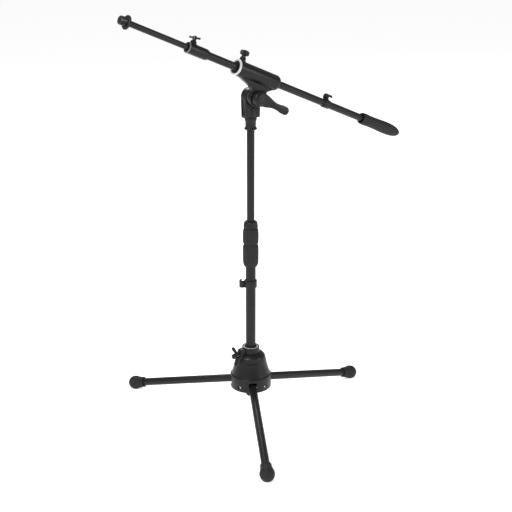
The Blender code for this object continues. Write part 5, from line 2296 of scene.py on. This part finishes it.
@dataclass(frozen=True)
class Studio:
    """The camera, the lights and the pale floor."""

    camera_place: Point = (-1.1843, -1.5519, 0.9997)
    azimuth: float = 53.4066
    tilt: float = -18.7778
    roll: float = 0.08
    lens: float = 71.517
    floor_size: float = 40.0
    floor_glow: float = 0.56

    def set_up(self) -> None:
        """Make the studio."""
        self._camera()
        self._floor()
        self._sky()
        aim = (0.0, 0.0, 0.40)
        Softbox("key_light", (-2.3, -0.9, 2.3), aim, 0.75, 80.0).set_up()
        Softbox("fill_light", (1.5, -2.6, 1.2), aim, 0.9, 30.0).set_up()
        Softbox("back_light", (0.8, 2.4, 2.8), aim, 1.0, 60.0).set_up()

    def _camera(self) -> None:
        """The camera, at the height and distance of a person taking the picture."""
        lens = bpy.data.cameras.new("camera")
        lens.lens = self.lens
        lens.sensor_width = 36.0
        camera = bpy.data.objects.new("camera", lens)
        bpy.context.scene.collection.objects.link(camera)
        camera.location = self.camera_place
        turn = Matrix.Rotation(math.radians(self.azimuth - 90.0), 4, "Z")
        pitch = Matrix.Rotation(math.radians(90.0 + self.tilt), 4, "X")
        roll = Matrix.Rotation(math.radians(self.roll), 4, "Z")
        camera.rotation_euler = (turn @ pitch @ roll).to_euler()
        bpy.context.scene.camera = camera

    def _floor(self) -> None:
        """A plain pale floor."""
        Bench.start()
        bpy.ops.mesh.primitive_plane_add(size=self.floor_size)
        floor = bpy.context.object
        floor.name = "floor"
        paper = bpy.data.materials.new("pale_floor")
        paper.use_nodes = True
        shader = paper.node_tree.nodes["Principled BSDF"]
        shader.inputs["Base Color"].default_value = (0.94, 0.94, 0.94, 1.0)
        shader.inputs["Roughness"].default_value = 0.9
        shader.inputs["Specular IOR Level"].default_value = 0.0
        shader.inputs["Emission Color"].default_value = (1.0, 1.0, 1.0, 1.0)
        shader.inputs["Emission Strength"].default_value = self.floor_glow
        floor.data.materials.append(paper)

    def _sky(self) -> None:
        """An even white surround, seen without a film curve."""
        world = bpy.data.worlds.new("surround")
        world.use_nodes = True
        light = world.node_tree.nodes["Background"]
        light.inputs["Color"].default_value = (1.0, 1.0, 1.0, 1.0)
        light.inputs["Strength"].default_value = 0.42
        bpy.context.scene.world = world
        bpy.context.scene.view_settings.view_transform = "Standard"


# ---------------------------------------------------------------- the whole stand


def leg_axes(pole: Axis) -> list[Axis]:
    """The axes of the three legs, from pivot to foot, with the front leg last.

    Args:
        pole: The axis of the pole.

    Returns:
        The three axes.
    """
    made = []
    for side in ("right", "left", "front"):
        name = f"leg_{side}"
        pivot = Vector(JOINTS[f"{name}_fold"]["pos_m"])
        along = long_direction(f"{name}_tube")
        if along.z > 0:
            along = -along
        made.append(Axis.through(name, pivot, along, -pole.direction(2)))
    return made


def main() -> None:
    """Build every sub-assembly in order, then the studio."""
    logging.basicConfig(level=logging.INFO, format="%(message)s")
    axes = stand_axes()
    pole, hinge, boom = axes["pole"], axes["hinge"], axes["boom"]
    legs = leg_axes(pole)
    head = Axis.through("hinge", hinge.matrix.translation, -hinge.direction(2), (1, 0, 0))
    handle = head.farthest("clutch_lever")
    lever = Axis.through("lever", head.matrix.translation, head.direction(2), handle)
    knob = joint_axis("clamp_knob_turn", "clamp_knob", boom.direction(2))
    parts: list[Assembly] = [
        Base(pole, legs),
        WingScrew(wing_axis(pole)),
        *[Leg(axis) for axis in legs],
        Pole(pole),
        CableClip(pole, "pole_cable_clip", "pole_lower_tube"),
        Clutch(head, pole),
        Lever(lever),
        BoomHolder(boom, head),
        ClampKnob(knob),
        Boom(boom),
        CableClip(boom, "boom_cable_clip", "boom_outer_tube", ring_wall=0.0014),
        Tip(boom),
    ]
    for part in parts:
        LOG.info("building %s", type(part).__name__)
        part.build()
    Studio().set_up()


if __name__ == "__main__":
    main()
